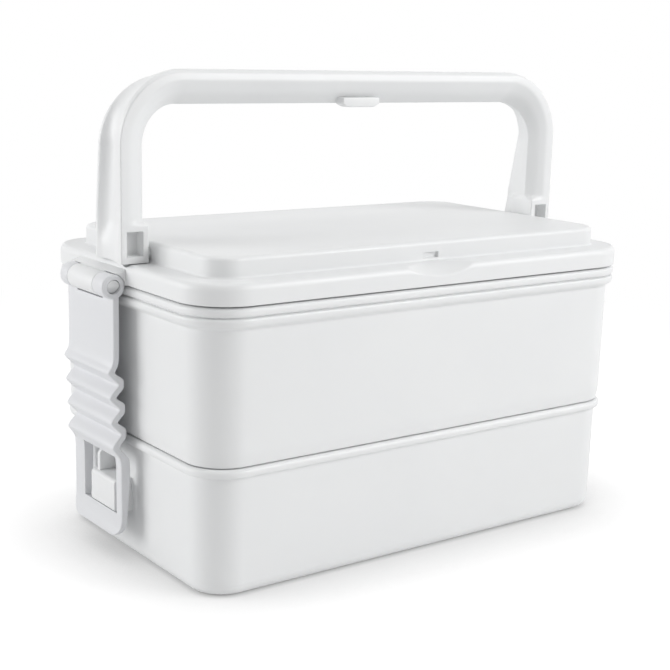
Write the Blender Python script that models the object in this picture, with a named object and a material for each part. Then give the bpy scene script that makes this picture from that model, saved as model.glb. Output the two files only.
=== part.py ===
"""A two-tier lunch box of white plastic.

Two boxes stand one on the other. A flat middle lid with a silicone ring closes the lower box,
and a domed lid with a second ring closes the upper one. A carrying handle turns on the lid, and
a corrugated latch at each end hangs from the lid and hooks under a catch on the lower box.
The long side lies along X, the front faces -Y, and the box stands on Z = 0.
"""
import math

import bmesh
import bpy
from mathutils import Matrix, Vector

MM = 0.001

# Fits
CLEARANCE = 0.3 * MM
PIN_CLEARANCE = 0.2 * MM

# Lid
LID_LENGTH = 200.0 * MM
LID_DEPTH = 120.5 * MM
LID_CORNER = 18.5 * MM
LID_SKIRT_DROP = 7.7 * MM
LID_SKIRT_WALL = 2.8 * MM
LID_PLATE = 3.5 * MM
LID_EDGE_ROUND = 3.2 * MM
DOME_INSET = 9.3 * MM
DOME_CORNER = 10.5 * MM
DOME_HEIGHT = 7.4 * MM
DOME_WALL = 2.0 * MM
DOME_EDGE_ROUND = 1.8 * MM
DOME_ROOT_ROUND = 0.9 * MM
SLOT_LENGTH = 7.2 * MM
SLOT_HEIGHT = 2.1 * MM
SLOT_DEPTH = 1.2 * MM
SLOT_ABOVE_PLATE = 1.1 * MM
SLOT_SHIFT = 0.8 * MM
NOTCH_LENGTH = 33.0 * MM
NOTCH_SHIFT = -1.2 * MM
NOTCH_DROP = 3.7 * MM
NOTCH_RUN = 8.0 * MM
LID_PLUG_DEPTH = 10.0 * MM
LID_PLUG_WALL = 3.4 * MM

# Upper box
UPPER_HEIGHT = 55.1 * MM
UPPER_WALL = 1.8 * MM
UPPER_FLOOR = 1.8 * MM
UPPER_INSET = 2.7 * MM
UPPER_DRAFT = 0.3 * MM
UPPER_FOOT_TUCK = 0.8 * MM
UPPER_FOOT_RISE = 4.3 * MM
UPPER_FOOT_CHAMFER = 0.4 * MM
RIM_INSET = 0.2 * MM
RIM_HEIGHT = 7.0 * MM
RIM_ROUND = 2.0 * MM
RIM_GROOVE_DROP = 2.7 * MM
RIM_GROOVE_WIDTH = 1.0 * MM
RIM_GROOVE_DEPTH = 1.0 * MM

# Lower box
LOWER_HEIGHT = 46.2 * MM
LOWER_WALL = 1.9 * MM
LOWER_FLOOR = 2.0 * MM
LOWER_INSET = 4.3 * MM
LOWER_DRAFT = 0.4 * MM
LOWER_FOOT_ROUND = 4.5 * MM
LOWER_RIM_INSET = 2.4 * MM
LOWER_RIM_HEIGHT = 3.1 * MM
INNER_FLOOR_ROUND = 3.0 * MM
BASE_RING_INSET = 10.5 * MM
BASE_RING_WIDTH = 5.0 * MM
BASE_RECESS = 0.8 * MM

# Middle lid and the silicone rings
MIDDLE_PLATE = 1.8 * MM
MIDDLE_PLUG_DEPTH = 5.5 * MM
MIDDLE_PLUG_WALL = 3.4 * MM
SEAL_HEIGHT = 2.6 * MM
SEAL_DEPTH = 1.7 * MM
SEAL_PROUD = 0.5 * MM
SEAL_DROP = 1.4 * MM
PLUG_GAP = 0.8 * MM

# Carrying handle
HANDLE_OUTER = 102.7 * MM
HANDLE_LEG = 10.8 * MM
HANDLE_GRIP = 12.3 * MM
HANDLE_TOP = 176.3 * MM
HANDLE_FRONT = -9.0 * MM
HANDLE_BACK = 9.0 * MM
HANDLE_CORNER = 26.0 * MM
LEG_TOP_BACK = 10.1 * MM
LEG_FOOT_BACK = 13.7 * MM
FOOT_BACK = 14.0 * MM
FOOT_LOW_HEIGHT = 5.4 * MM
FOOT_BLOCK_HEIGHT = 12.2 * MM
FOOT_SHOULDER = 2.0 * MM
FOOT_FADE = 4.7 * MM
FOOT_WINDOW = 6.4 * MM
FOOT_WINDOW_HEIGHT = 8.8 * MM
FOOT_WINDOW_DEPTH = 5.0 * MM
FOOT_WINDOW_RISE = 2.6 * MM
PIVOT_BACK = 3.0 * MM
PIVOT_PIN_RADIUS = 2.0 * MM
NUB_LENGTH = 17.4 * MM
NUB_DROP = 1.2 * MM
NUB_BACK = 1.0 * MM
NUB_DEPTH = 5.0 * MM

# Latches and what they turn and hook on
LATCH_WIDTH = 36.2 * MM
LATCH_CENTRE = 11.1 * MM
LATCH_SHEET = 2.4 * MM
HINGE_RADIUS = 4.4 * MM
HINGE_DROP = 7.65 * MM
EAR_WIDTH = 8.0 * MM
EAR_SHORT = 2.0 * MM
HINGE_PIN_RADIUS = 2.4 * MM
BARREL_GAP = 0.8 * MM
SHOULDER_BACK = 1.6 * MM
SHOULDER_RISE = 0.5 * MM
LATCH_FACE = 0.3 * MM
RIDGE_COUNT = 4
RIDGE_FIRST_DROP = 30.75 * MM
RIDGE_PITCH = 9.1 * MM
RIDGE_PROUD = 2.6 * MM
RIDGE_LEAN = 0.4 * MM
VALLEY_DEEP = 1.7 * MM
VALLEY_DROP = 4.5 * MM
VALLEY_FLAT = 0.8 * MM
PLATE_STOP = 3.1 * MM
CREASE_BACK = 0.25 * MM
BULGE_BACK = 4.1 * MM
BULGE_START = 2.4 * MM
BULGE_END = 6.0 * MM
FRAME_INSET = 2.2 * MM
FRAME_THICK = 3.6 * MM
FRAME_WIDER = 0.8 * MM
FRAME_BOTTOM = 10.0 * MM
FRAME_CORNER = 5.5 * MM
FRAME_FLARE = 1.6 * MM
FLARE_START = 0.4 * MM
WINDOW_WIDTH = 25.6 * MM
WINDOW_SHIFT = -2.0 * MM
WINDOW_TOP = 39.6 * MM
WINDOW_SLOPE = 11.0
CATCH_WIDTH = 18.5 * MM
CATCH_SHIFT = -3.8 * MM
CATCH_BOTTOM = 16.9 * MM
CATCH_HEIGHT = 13.2 * MM
CATCH_BEVEL = 1.4 * MM
CATCH_RIB_WIDTH = 2.2 * MM
CATCH_RIB_SHIFT = 5.7 * MM
CATCH_RIB_BACK = 1.3 * MM
CATCH_RIB_FALL = 3.0 * MM

# Fineness of the round stretches
CORNER_STEPS = 8
EDGE_STEPS = 3
PIN_SIDES = 24
LEAST_CORNER = 1.0 * MM
FIRST_CUT = 0.15
SECOND_CUT = 0.25
OUTER_POINTS = 10
VALLEY_AT_BLOCK = 0.8
SCOOP_AT_SHOULDER = 0.8

# Heights that follow from the stack
UPPER_BASE = LOWER_HEIGHT + CLEARANCE
UPPER_TOP = UPPER_BASE + UPPER_HEIGHT
LID_BASE = UPPER_TOP + CLEARANCE
LID_TOP = LID_BASE + LID_SKIRT_DROP
DOME_TOP = LID_TOP + DOME_HEIGHT
MIDDLE_BASE = LOWER_HEIGHT + CLEARANCE
MIDDLE_TOP = MIDDLE_BASE + MIDDLE_PLATE
UPPER_FLOOR_BASE = MIDDLE_TOP + CLEARANCE
LID_HALF_LENGTH = LID_LENGTH / 2
LID_HALF_DEPTH = LID_DEPTH / 2

# Axes of the moving pieces
PIVOT_Y = HANDLE_FRONT + PIVOT_BACK
PIVOT_Z = LID_TOP + CLEARANCE + PIVOT_BACK
HINGE_X = LID_HALF_LENGTH + CLEARANCE + HINGE_RADIUS
HINGE_Z = LID_TOP - HINGE_DROP

WHITE = (0.86, 0.865, 0.87, 1.0)
MILKY = (0.78, 0.79, 0.79, 1.0)


def clear_scene():
    """Remove whatever the file holds."""
    for item in list(bpy.data.objects):
        bpy.data.objects.remove(item, do_unlink=True)


def plastic(name, colour, roughness):
    """A plain moulded plastic or rubber."""
    material = bpy.data.materials.new(name)
    material.use_nodes = True
    shader = material.node_tree.nodes["Principled BSDF"]
    shader.inputs["Base Color"].default_value = colour
    shader.inputs["Roughness"].default_value = roughness
    shader.inputs["Metallic"].default_value = 0.0
    return material


def outline(inset, corner=LID_CORNER):
    """Points of the lid's rounded rectangle, moved inwards by inset, counterclockwise from above."""
    half_length = LID_HALF_LENGTH - inset
    half_depth = LID_HALF_DEPTH - inset
    radius = max(corner - inset, LEAST_CORNER)
    points = []
    for sign_x, sign_y, start in ((1, 1, 0), (-1, 1, 90), (-1, -1, 180), (1, -1, 270)):
        centre_x = sign_x * (half_length - radius)
        centre_y = sign_y * (half_depth - radius)
        for step in range(CORNER_STEPS + 1):
            angle = math.radians(start + 90 * step / CORNER_STEPS)
            points.append((centre_x + radius * math.cos(angle), centre_y + radius * math.sin(angle)))
    return points


def quarter(inset, height, radius, start, turn):
    """Points (inset, height) of a quarter round about a centre, from an angle in degrees."""
    points = []
    for step in range(EDGE_STEPS + 1):
        angle = math.radians(start + turn * step / EDGE_STEPS)
        points.append((inset + radius * math.cos(angle), height + radius * math.sin(angle)))
    return points


def new_object(name, mesh_builder, material):
    """Turn a bmesh into an object of the scene."""
    bmesh.ops.remove_doubles(mesh_builder, verts=mesh_builder.verts, dist=0.001 * MM)
    bmesh.ops.recalc_face_normals(mesh_builder, faces=mesh_builder.faces)
    mesh = bpy.data.meshes.new(name)
    mesh_builder.to_mesh(mesh)
    mesh_builder.free()
    item = bpy.data.objects.new(name, mesh)
    bpy.context.collection.objects.link(item)
    if material:
        mesh.materials.append(material)
    return item


def skin(name, rings, material, ring_closed=False):
    """Join rings of equal length with quads, and cap the ends or join them to each other."""
    builder = bmesh.new()
    loops = [[builder.verts.new(point) for point in ring] for ring in rings]
    pairs = list(zip(loops, loops[1:]))
    if ring_closed:
        pairs.append((loops[-1], loops[0]))
    for low, high in pairs:
        count = len(low)
        for index in range(count):
            after = (index + 1) % count
            builder.faces.new((low[index], low[after], high[after], high[index]))
    if not ring_closed:
        builder.faces.new(list(reversed(loops[0])))
        builder.faces.new(loops[-1])
    return new_object(name, builder, material)


def moulding(name, section, material, ring_closed=False):
    """Carry a section of (inset, height[, corner]) points round the lid's outline."""
    rings = []
    for inset, height, *corner in section:
        rings.append([(x, y, height) for x, y in outline(inset, *corner)])
    return skin(name, rings, material, ring_closed)


def prism(name, points, axis, low, high, material=None):
    """Extrude a flat outline along X or Y between two places."""
    builder = bmesh.new()
    ends = []
    for place in (low, high):
        if axis == "X":
            ends.append([builder.verts.new((place, a, b)) for a, b in points])
        else:
            ends.append([builder.verts.new((a, place, b)) for a, b in points])
    count = len(points)
    for index in range(count):
        after = (index + 1) % count
        builder.faces.new((ends[0][index], ends[0][after], ends[1][after], ends[1][index]))
    builder.faces.new(list(reversed(ends[0])))
    builder.faces.new(ends[1])
    return new_object(name, builder, material)


def rod(name, axis, low, high, centre, radius):
    """A round bar along X or Y; centre is its place in the other two directions."""
    points = []
    for step in range(PIN_SIDES):
        angle = 2 * math.pi * (step + 0.5) / PIN_SIDES
        points.append((centre[0] + radius * math.cos(angle), centre[1] + radius * math.sin(angle)))
    return prism(name, points, axis, low, high)


def block(name, low, high):
    """A plain box between two corners."""
    points = [(low[0], low[2]), (high[0], low[2]), (high[0], high[2]), (low[0], high[2])]
    return prism(name, points, "Y", low[1], high[1])


def combine(target, tool, operation):
    """Cut a tool out of a piece, or join it on, and keep the tool as a guide."""
    modifier = target.modifiers.new(operation.lower() + "_" + tool.name, "BOOLEAN")
    modifier.operation = operation
    modifier.solver = "EXACT"
    modifier.object = tool
    tool.hide_render = True
    tool.display_type = "WIRE"


def set_origin(item, place):
    """Move a piece's origin onto its joint without moving the piece."""
    item.data.transform(Matrix.Translation(-Vector(place)))
    item.location = place


def seal_groove(inset, top):
    """Section of the groove that a silicone ring sits in, from its lower to its upper lip."""
    return [(inset, top - SEAL_HEIGHT), (inset + SEAL_DEPTH, top - SEAL_HEIGHT),
            (inset + SEAL_DEPTH, top), (inset, top)]


def seal_ring(name, inset, top, material):
    """A silicone ring with a pointed lip towards the wall that it seals."""
    inner = inset + SEAL_DEPTH - CLEARANCE
    low = top - SEAL_HEIGHT + CLEARANCE / 2
    high = top - CLEARANCE / 2
    middle = (low + high) / 2
    tip = inset - SEAL_PROUD
    section = [(inner, low), (inset, low), (tip, middle), (inset, high), (inner, high)]
    return moulding(name, section, material, ring_closed=True)


def make_lower_box(material):
    wall_top = LOWER_INSET
    wall_foot = LOWER_INSET + LOWER_DRAFT
    inner_top = LOWER_INSET + LOWER_WALL
    inner_foot = inner_top + LOWER_DRAFT
    ring_out = BASE_RING_INSET
    ring_in = BASE_RING_INSET + BASE_RING_WIDTH
    section = [(ring_in + BASE_RECESS, BASE_RECESS), (ring_in, 0.0), (ring_out, 0.0)]
    section += quarter(wall_foot + LOWER_FOOT_ROUND, LOWER_FOOT_ROUND, LOWER_FOOT_ROUND, 270, -90)
    bead = LOWER_RIM_HEIGHT / 2
    bead_inset = LOWER_RIM_INSET + bead
    section += [(wall_top, LOWER_HEIGHT - LOWER_RIM_HEIGHT - CLEARANCE)]
    section += quarter(bead_inset, LOWER_HEIGHT - bead, bead, 270, -90)
    section += quarter(bead_inset, LOWER_HEIGHT - bead, bead, 180, -90)[1:]
    section += [(inner_top, LOWER_HEIGHT)]
    floor_round = quarter(inner_foot + INNER_FLOOR_ROUND, LOWER_FLOOR + INNER_FLOOR_ROUND,
                          INNER_FLOOR_ROUND, 180, 90)
    return moulding("lower_box", section + floor_round, material)


def make_catch(box, side):
    """The raised pad that a latch hooks under, with the rib that ties it to the rim."""
    face = HINGE_X + LATCH_FACE - FRAME_INSET
    root = LID_HALF_LENGTH - LOWER_INSET - LOWER_DRAFT - LOWER_WALL / 2
    slope = (face - root) * math.tan(math.radians(WINDOW_SLOPE))
    top = CATCH_BOTTOM + CATCH_HEIGHT
    points = [(root, CATCH_BOTTOM), (face, CATCH_BOTTOM + slope), (face, top - CATCH_BEVEL),
              (face - CATCH_BEVEL, top), (root, top)]
    centre = side_y(side, CATCH_SHIFT)
    pad = prism(box.name + "_catch_" + side, mirrored(points, side), "Y",
                centre - CATCH_WIDTH / 2, centre + CATCH_WIDTH / 2)
    combine(box, pad, "UNION")
    rib_face = face - CATCH_RIB_BACK
    rib_top = LOWER_HEIGHT - LOWER_RIM_HEIGHT
    rib_low = top - CATCH_BEVEL
    rib_points = [(root, rib_low), (rib_face, rib_low), (rib_face, WINDOW_TOP - CATCH_RIB_FALL),
                  (LID_HALF_LENGTH - LOWER_INSET, rib_top), (root, rib_top)]
    rib_centre = side_y(side, CATCH_SHIFT) + turn(side) * CATCH_RIB_SHIFT
    rib = prism(box.name + "_rib_" + side, mirrored(rib_points, side), "Y",
                rib_centre - CATCH_RIB_WIDTH / 2, rib_centre + CATCH_RIB_WIDTH / 2)
    combine(box, rib, "UNION")


def turn(side):
    """The right end is the left end turned half a turn about Z."""
    return 1 if side == "left" else -1


def side_y(side, shift):
    """Place along Y of a feature of the latch at one end."""
    return turn(side) * (LATCH_CENTRE + shift)


def mirrored(points, side):
    """Points (x, z) of the right end, carried to the left end where it is asked for."""
    return [(-x, z) for x, z in points] if side == "left" else points


def make_upper_box(material):
    foot = UPPER_INSET + UPPER_DRAFT
    inner_foot = foot + UPPER_WALL
    inner_top = UPPER_INSET + UPPER_WALL
    rim_low = UPPER_TOP - RIM_HEIGHT
    groove_top = UPPER_TOP - RIM_GROOVE_DROP
    groove_low = groove_top - RIM_GROOVE_WIDTH
    tucked = foot + UPPER_FOOT_TUCK
    section = [(inner_foot, UPPER_FLOOR_BASE), (inner_foot, UPPER_BASE),
               (tucked + UPPER_FOOT_CHAMFER, UPPER_BASE), (tucked, UPPER_BASE + UPPER_FOOT_CHAMFER),
               (foot, UPPER_BASE + UPPER_FOOT_RISE), (UPPER_INSET, rim_low)]
    section += quarter(RIM_INSET + RIM_ROUND, rim_low + RIM_ROUND, RIM_ROUND, 270, -90)
    section += [(RIM_INSET, groove_low), (RIM_INSET + RIM_GROOVE_DEPTH, groove_low + CLEARANCE),
                (RIM_INSET + RIM_GROOVE_DEPTH, groove_top - CLEARANCE), (RIM_INSET, groove_top),
                (RIM_INSET, UPPER_TOP - CLEARANCE), (RIM_INSET + CLEARANCE, UPPER_TOP),
                (inner_top, UPPER_TOP)]
    floor_top = UPPER_FLOOR_BASE + UPPER_FLOOR
    section += quarter(inner_foot + INNER_FLOOR_ROUND, floor_top + INNER_FLOOR_ROUND,
                       INNER_FLOOR_ROUND, 180, 90)
    return moulding("upper_box", section, material)


def make_middle_lid(material):
    """The flat lid of the lower box; it lies under the upper box and inside its foot."""
    edge = UPPER_INSET + UPPER_DRAFT + UPPER_WALL + CLEARANCE
    wall = LOWER_INSET + LOWER_WALL
    plug = wall + PLUG_GAP
    plug_low = MIDDLE_BASE - MIDDLE_PLUG_DEPTH
    section = [(plug + MIDDLE_PLUG_WALL, MIDDLE_BASE), (plug + MIDDLE_PLUG_WALL, plug_low),
               (plug, plug_low)]
    section += seal_groove(plug, MIDDLE_BASE - SEAL_DROP)
    section += [(plug, MIDDLE_BASE), (edge, MIDDLE_BASE), (edge, MIDDLE_TOP)]
    return moulding("middle_lid", section, material)


def make_lid(material):
    """The domed lid, hollow below, with a plug that reaches into the upper box."""
    wall = UPPER_INSET + UPPER_WALL
    plug = wall + PLUG_GAP
    plug_low = LID_TOP - LID_PLATE - LID_PLUG_DEPTH
    plate_low = LID_TOP - LID_PLATE
    dome_in = DOME_INSET + DOME_WALL
    corner = DOME_INSET + DOME_CORNER
    section = [(dome_in, DOME_TOP - DOME_WALL, corner), (dome_in, plate_low, corner),
               (plug + LID_PLUG_WALL, plate_low), (plug + LID_PLUG_WALL, plug_low), (plug, plug_low)]
    section += seal_groove(plug, UPPER_TOP - SEAL_DROP)
    section += [(plug, plate_low), (LID_SKIRT_WALL, plate_low), (LID_SKIRT_WALL, LID_BASE),
                (CLEARANCE, LID_BASE), (0.0, LID_BASE + CLEARANCE)]
    section += quarter(LID_EDGE_ROUND, LID_TOP - LID_EDGE_ROUND, LID_EDGE_ROUND, 180, -90)
    dome = quarter(DOME_INSET - DOME_ROOT_ROUND, LID_TOP + DOME_ROOT_ROUND, DOME_ROOT_ROUND, 270, 90)
    dome += quarter(DOME_INSET + DOME_EDGE_ROUND, DOME_TOP - DOME_EDGE_ROUND, DOME_EDGE_ROUND, 180, -90)
    section += [(inset, height, corner) for inset, height in dome]
    return moulding("lid", section, material)


def make_lid_details(lid):
    """The slot in the dome's front, the finger notch below it and the handle's bearings."""
    dome_front = -(LID_HALF_DEPTH - DOME_INSET)
    slot_low = LID_TOP + SLOT_ABOVE_PLATE
    slot = block("cut_slot", (SLOT_SHIFT - SLOT_LENGTH / 2, dome_front - SLOT_DEPTH, slot_low),
                 (SLOT_SHIFT + SLOT_LENGTH / 2, dome_front + SLOT_DEPTH, slot_low + SLOT_HEIGHT))
    combine(lid, slot, "DIFFERENCE")
    radius = (NOTCH_LENGTH ** 2 / 4 + NOTCH_DROP ** 2) / (2 * NOTCH_DROP)
    centre_z = LID_TOP - NOTCH_DROP + radius
    half_angle = math.asin(NOTCH_LENGTH / 2 / radius)
    arc = []
    for step in range(2 * CORNER_STEPS + 1):
        angle = half_angle * (step / CORNER_STEPS - 1)
        arc.append((radius * math.sin(angle), centre_z - radius * math.cos(angle)))
    arc += [(NOTCH_LENGTH / 2, DOME_TOP), (-NOTCH_LENGTH / 2, DOME_TOP)]
    rings = []
    for run in (-NOTCH_RUN / 4, NOTCH_RUN):
        rise = run * NOTCH_DROP / NOTCH_RUN
        rings.append([(x + NOTCH_SHIFT, run - LID_HALF_DEPTH, z + rise) for x, z in arc])
    combine(lid, skin("cut_notch", rings, None), "DIFFERENCE")
    dome_end = LID_HALF_LENGTH - DOME_INSET
    sweep_radius = math.hypot(PIVOT_BACK, PIVOT_BACK) + CLEARANCE
    for side in (-1, 1):
        ends = sorted((side * (dome_end - 2 * DOME_WALL), side * (dome_end + DOME_WALL)))
        hole = rod("cut_bearing", "X", ends[0], ends[1], (PIVOT_Y, PIVOT_Z),
                   PIVOT_PIN_RADIUS + PIN_CLEARANCE)
        combine(lid, hole, "DIFFERENCE")
        foot_in = HANDLE_OUTER - HANDLE_LEG - CLEARANCE
        ends = sorted((side * foot_in, side * (HANDLE_OUTER + CLEARANCE)))
        pocket = rod("cut_foot_pocket", "X", ends[0], ends[1], (PIVOT_Y, PIVOT_Z), sweep_radius)
        combine(lid, pocket, "DIFFERENCE")


def make_barrel(lid, side):
    """The barrel between a latch's ears, its stub pins, and the shoulder that carries it."""
    centre = side_y(side, 0.0)
    half = LATCH_WIDTH / 2 - EAR_WIDTH - CLEARANCE
    x = -HINGE_X if side == "left" else HINGE_X
    skirt_in = LID_HALF_LENGTH - LID_SKIRT_WALL / 2
    low = LID_BASE + 2 * CLEARANCE
    crest = HINGE_Z + HINGE_RADIUS
    shoulder = [(skirt_in, low), (HINGE_X, low), (HINGE_X + SHOULDER_BACK, crest),
                (HINGE_X - SHOULDER_BACK, crest + SHOULDER_RISE),
                (LID_HALF_LENGTH - SHOULDER_RISE, LID_TOP - LID_EDGE_ROUND / 2),
                (skirt_in, LID_TOP - SHOULDER_RISE)]
    reach = LATCH_WIDTH / 2 - CLEARANCE
    web = prism("join_shoulder_" + side, mirrored(shoulder, side), "Y", centre - reach, centre + reach)
    for lean in (-1, 1):
        ends = sorted((centre + lean * half, centre + lean * LATCH_WIDTH))
        room = rod("cut_ear_room_" + side, "Y", ends[0], ends[1], (x, HINGE_Z), HINGE_RADIUS + CLEARANCE)
        combine(web, room, "DIFFERENCE")
    combine(lid, web, "UNION")
    barrel = rod("join_barrel_" + side, "Y", centre - half, centre + half, (x, HINGE_Z), HINGE_RADIUS)
    combine(lid, barrel, "UNION")
    ends = [centre - turn(side) * reach, centre + turn(side) * (reach - EAR_SHORT)]
    pin = rod("join_pin_" + side, "Y", min(ends), max(ends), (x, HINGE_Z), HINGE_PIN_RADIUS)
    combine(lid, pin, "UNION")


def smoothed(points):
    """Cut the corners of an open line of tuples twice, a little and then more, keeping its ends."""
    for share in (FIRST_CUT, SECOND_CUT):
        finer = [points[0]]
        for one, two in zip(points, points[1:]):
            finer.append(tuple((1 - share) * a + share * b for a, b in zip(one, two)))
            finer.append(tuple(share * a + (1 - share) * b for a, b in zip(one, two)))
        finer.append(points[-1])
        points = finer
    return points


def latch_faces():
    """Outer and inner face of the right latch from its hinge down, as matching lists of (x, z)."""
    face = HINGE_X + LATCH_FACE
    first = HINGE_Z - RIDGE_FIRST_DROP
    outer = [(face, HINGE_Z - HINGE_RADIUS / 2), (face, first + PLATE_STOP)]
    inner = [(x - LATCH_SHEET, z) for x, z in outer]
    for ridge in range(RIDGE_COUNT):
        z = first - ridge * RIDGE_PITCH
        level = face - ridge * RIDGE_LEAN
        outer.append((level + RIDGE_PROUD, z))
        inner.append((level - CREASE_BACK, z))
        if ridge < RIDGE_COUNT - 1:
            valley = z - VALLEY_DROP
            outer += [(level - VALLEY_DEEP, valley + VALLEY_FLAT / 2),
                      (level - VALLEY_DEEP, valley - VALLEY_FLAT / 2)]
            inner += [(level - BULGE_BACK, z - BULGE_START), (level - BULGE_BACK, z - BULGE_END)]
    frame = face - FRAME_INSET
    last = first - (RIDGE_COUNT - 1) * RIDGE_PITCH
    for x, z, thick in ((frame, last - VALLEY_DROP, FRAME_THICK),
                        (frame, CATCH_BOTTOM + CATCH_HEIGHT, FRAME_THICK),
                        (frame, CATCH_BOTTOM, LATCH_SHEET),
                        (frame + FLARE_START, (CATCH_BOTTOM + FRAME_BOTTOM) / 2, LATCH_SHEET),
                        (frame + FRAME_FLARE, FRAME_BOTTOM, LATCH_SHEET)):
        outer.append((x, z))
        inner.append((x - thick, z))
    return outer, inner


def half_width(z):
    """Half the latch's width at a height: the plate, the wider frame and its rounded foot."""
    last = HINGE_Z - RIDGE_FIRST_DROP - (RIDGE_COUNT - 1) * RIDGE_PITCH
    blend = min(max((last + VALLEY_DROP - z) / (2 * VALLEY_DROP), 0.0), 1.0)
    half = LATCH_WIDTH / 2 + blend * FRAME_WIDER
    rise = z - FRAME_BOTTOM
    if rise < FRAME_CORNER:
        half -= FRAME_CORNER - math.sqrt(max(FRAME_CORNER ** 2 - (FRAME_CORNER - rise) ** 2, 0.0))
    return half


def latch_rings(side):
    """Rectangles, one at each point down the latch, that follow its corrugated sheet."""
    outer, inner = [smoothed(line) for line in latch_faces()]
    foot = outer[-1]
    for step in range(1, CORNER_STEPS):
        share = 1 - (step / CORNER_STEPS) ** 2
        outer.insert(-1, tuple(foot[a] + share * (outer[-2][a] - foot[a]) for a in (0, 1)))
        inner.insert(-1, tuple(inner[-1][a] + share * (inner[-2][a] - inner[-1][a]) for a in (0, 1)))
    rings = []
    centre = side_y(side, 0.0)
    sign = -1 if side == "left" else 1
    for (out_x, out_z), (in_x, in_z) in zip(outer, inner):
        half = half_width((out_z + in_z) / 2)
        rings.append([(sign * out_x, centre - half, out_z), (sign * out_x, centre + half, out_z),
                      (sign * in_x, centre + half, in_z), (sign * in_x, centre - half, in_z)])
    return rings


def make_latch(side, material):
    """A corrugated strip with two ears at the top and a window that hooks under the catch."""
    latch = skin(side + "_latch", latch_rings(side), material)
    centre = side_y(side, 0.0)
    x = -HINGE_X if side == "left" else HINGE_X
    half = LATCH_WIDTH / 2
    ends = [centre - turn(side) * half, centre + turn(side) * (half - EAR_SHORT)]
    ears = rod("join_ears_" + side, "Y", min(ends), max(ends), (x, HINGE_Z), HINGE_RADIUS)
    combine(latch, ears, "UNION")
    bay_half = half - EAR_WIDTH
    reach = 3 * HINGE_RADIUS
    bay = block("cut_bay_" + side, (x - reach, centre - bay_half, HINGE_Z - HINGE_RADIUS - BARREL_GAP),
                (x + reach, centre + bay_half, HINGE_Z + reach))
    combine(latch, bay, "DIFFERENCE")
    hole = rod("cut_pin_" + side, "Y", centre - LATCH_WIDTH, centre + LATCH_WIDTH, (x, HINGE_Z),
               HINGE_PIN_RADIUS + PIN_CLEARANCE)
    combine(latch, hole, "DIFFERENCE")
    face = HINGE_X + LATCH_FACE - FRAME_INSET
    root = LID_HALF_LENGTH - LOWER_INSET - LOWER_DRAFT - LOWER_WALL / 2
    near = root - FRAME_THICK
    far = face + 3 * FRAME_THICK
    tilt = math.tan(math.radians(WINDOW_SLOPE))
    low = CATCH_BOTTOM - CLEARANCE - tilt * (root - near)
    points = [(near, low), (far, low + tilt * (far - near)), (far, WINDOW_TOP), (near, WINDOW_TOP)]
    window_centre = side_y(side, WINDOW_SHIFT)
    window = prism("cut_window_" + side, mirrored(points, side), "Y",
                   window_centre - WINDOW_WIDTH / 2, window_centre + WINDOW_WIDTH / 2)
    combine(latch, window, "DIFFERENCE")
    set_origin(latch, (x, centre, HINGE_Z))
    return latch


def section_points(width, front, back, shares):
    """Section points from shares of the width and of the depth from front to back."""
    return [(width * across, front + deep * (back - front)) for across, deep in shares]


def foot_section(width):
    """Section of the handle's foot block: distance from its inner side, and place along Y."""
    return section_points(width, HANDLE_FRONT, FOOT_BACK,
                          [(1, 0), (1, 0.1), (0.97, 0.12), (0.84, 0.35), (0.8, 0.55), (0.84, 0.75),
                           (0.97, 0.9), (0.77, 1), (0.5, 0.97), (0.25, 0.8),
                           (0, 0.55), (0, 0.2), (0, 0), (0.63, 0)])


def low_leg_section(width):
    """Section of a leg near its foot: a rim in front, a valley and a thick roll in the outer side."""
    return section_points(width, HANDLE_FRONT, LEG_FOOT_BACK,
                          [(1, 0), (1, 0.1), (0.86, 0.12), (0.67, 0.35), (0.61, 0.55), (0.69, 0.75),
                           (0.97, 0.9), (0.77, 1), (0.57, 0.95), (0.3, 0.73),
                           (0.09, 0.44), (0, 0.2), (0.3, 0.07), (0.63, 0.005)])


def leg_section(width):
    """Section of a leg below the corner, where the roll is thinner and nearer to the rim."""
    return section_points(width, HANDLE_FRONT, LEG_TOP_BACK,
                          [(1, 0), (1, 0.115), (0.86, 0.136), (0.65, 0.34), (0.59, 0.55), (0.67, 0.76),
                           (0.98, 0.9), (0.86, 1), (0.7, 0.95), (0.43, 0.68),
                           (0.17, 0.42), (0, 0.24), (0.3, 0.085), (0.63, 0.005)])


def grip_section(width):
    """Section of the grip: a crowned top, a rim in front, and a front that slopes back below it."""
    return section_points(width, HANDLE_FRONT, HANDLE_BACK,
                          [(0.9, 0.03), (0.98, 0.13), (1, 0.28), (0.98, 0.45), (0.94, 0.62), (0.87, 0.78),
                           (0.74, 0.94), (0.58, 1), (0.35, 0.98), (0.12, 0.88),
                           (0, 0.72), (0, 0.42), (0.3, 0.17), (0.68, 0)])


def mixed(one, two, share):
    """Points part of the way from one section to another."""
    return [tuple(a + share * (b - a) for a, b in zip(p, q)) for p, q in zip(one, two)]


def foot_to_leg(outer, inner):
    """The foot's section with its outer and inner points each part of the way to the leg's."""
    foot = foot_section(HANDLE_LEG)
    leg = low_leg_section(HANDLE_LEG)
    return mixed(foot[:OUTER_POINTS], leg[:OUTER_POINTS], outer) + \
        mixed(foot[OUTER_POINTS:], leg[OUTER_POINTS:], inner)


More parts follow.
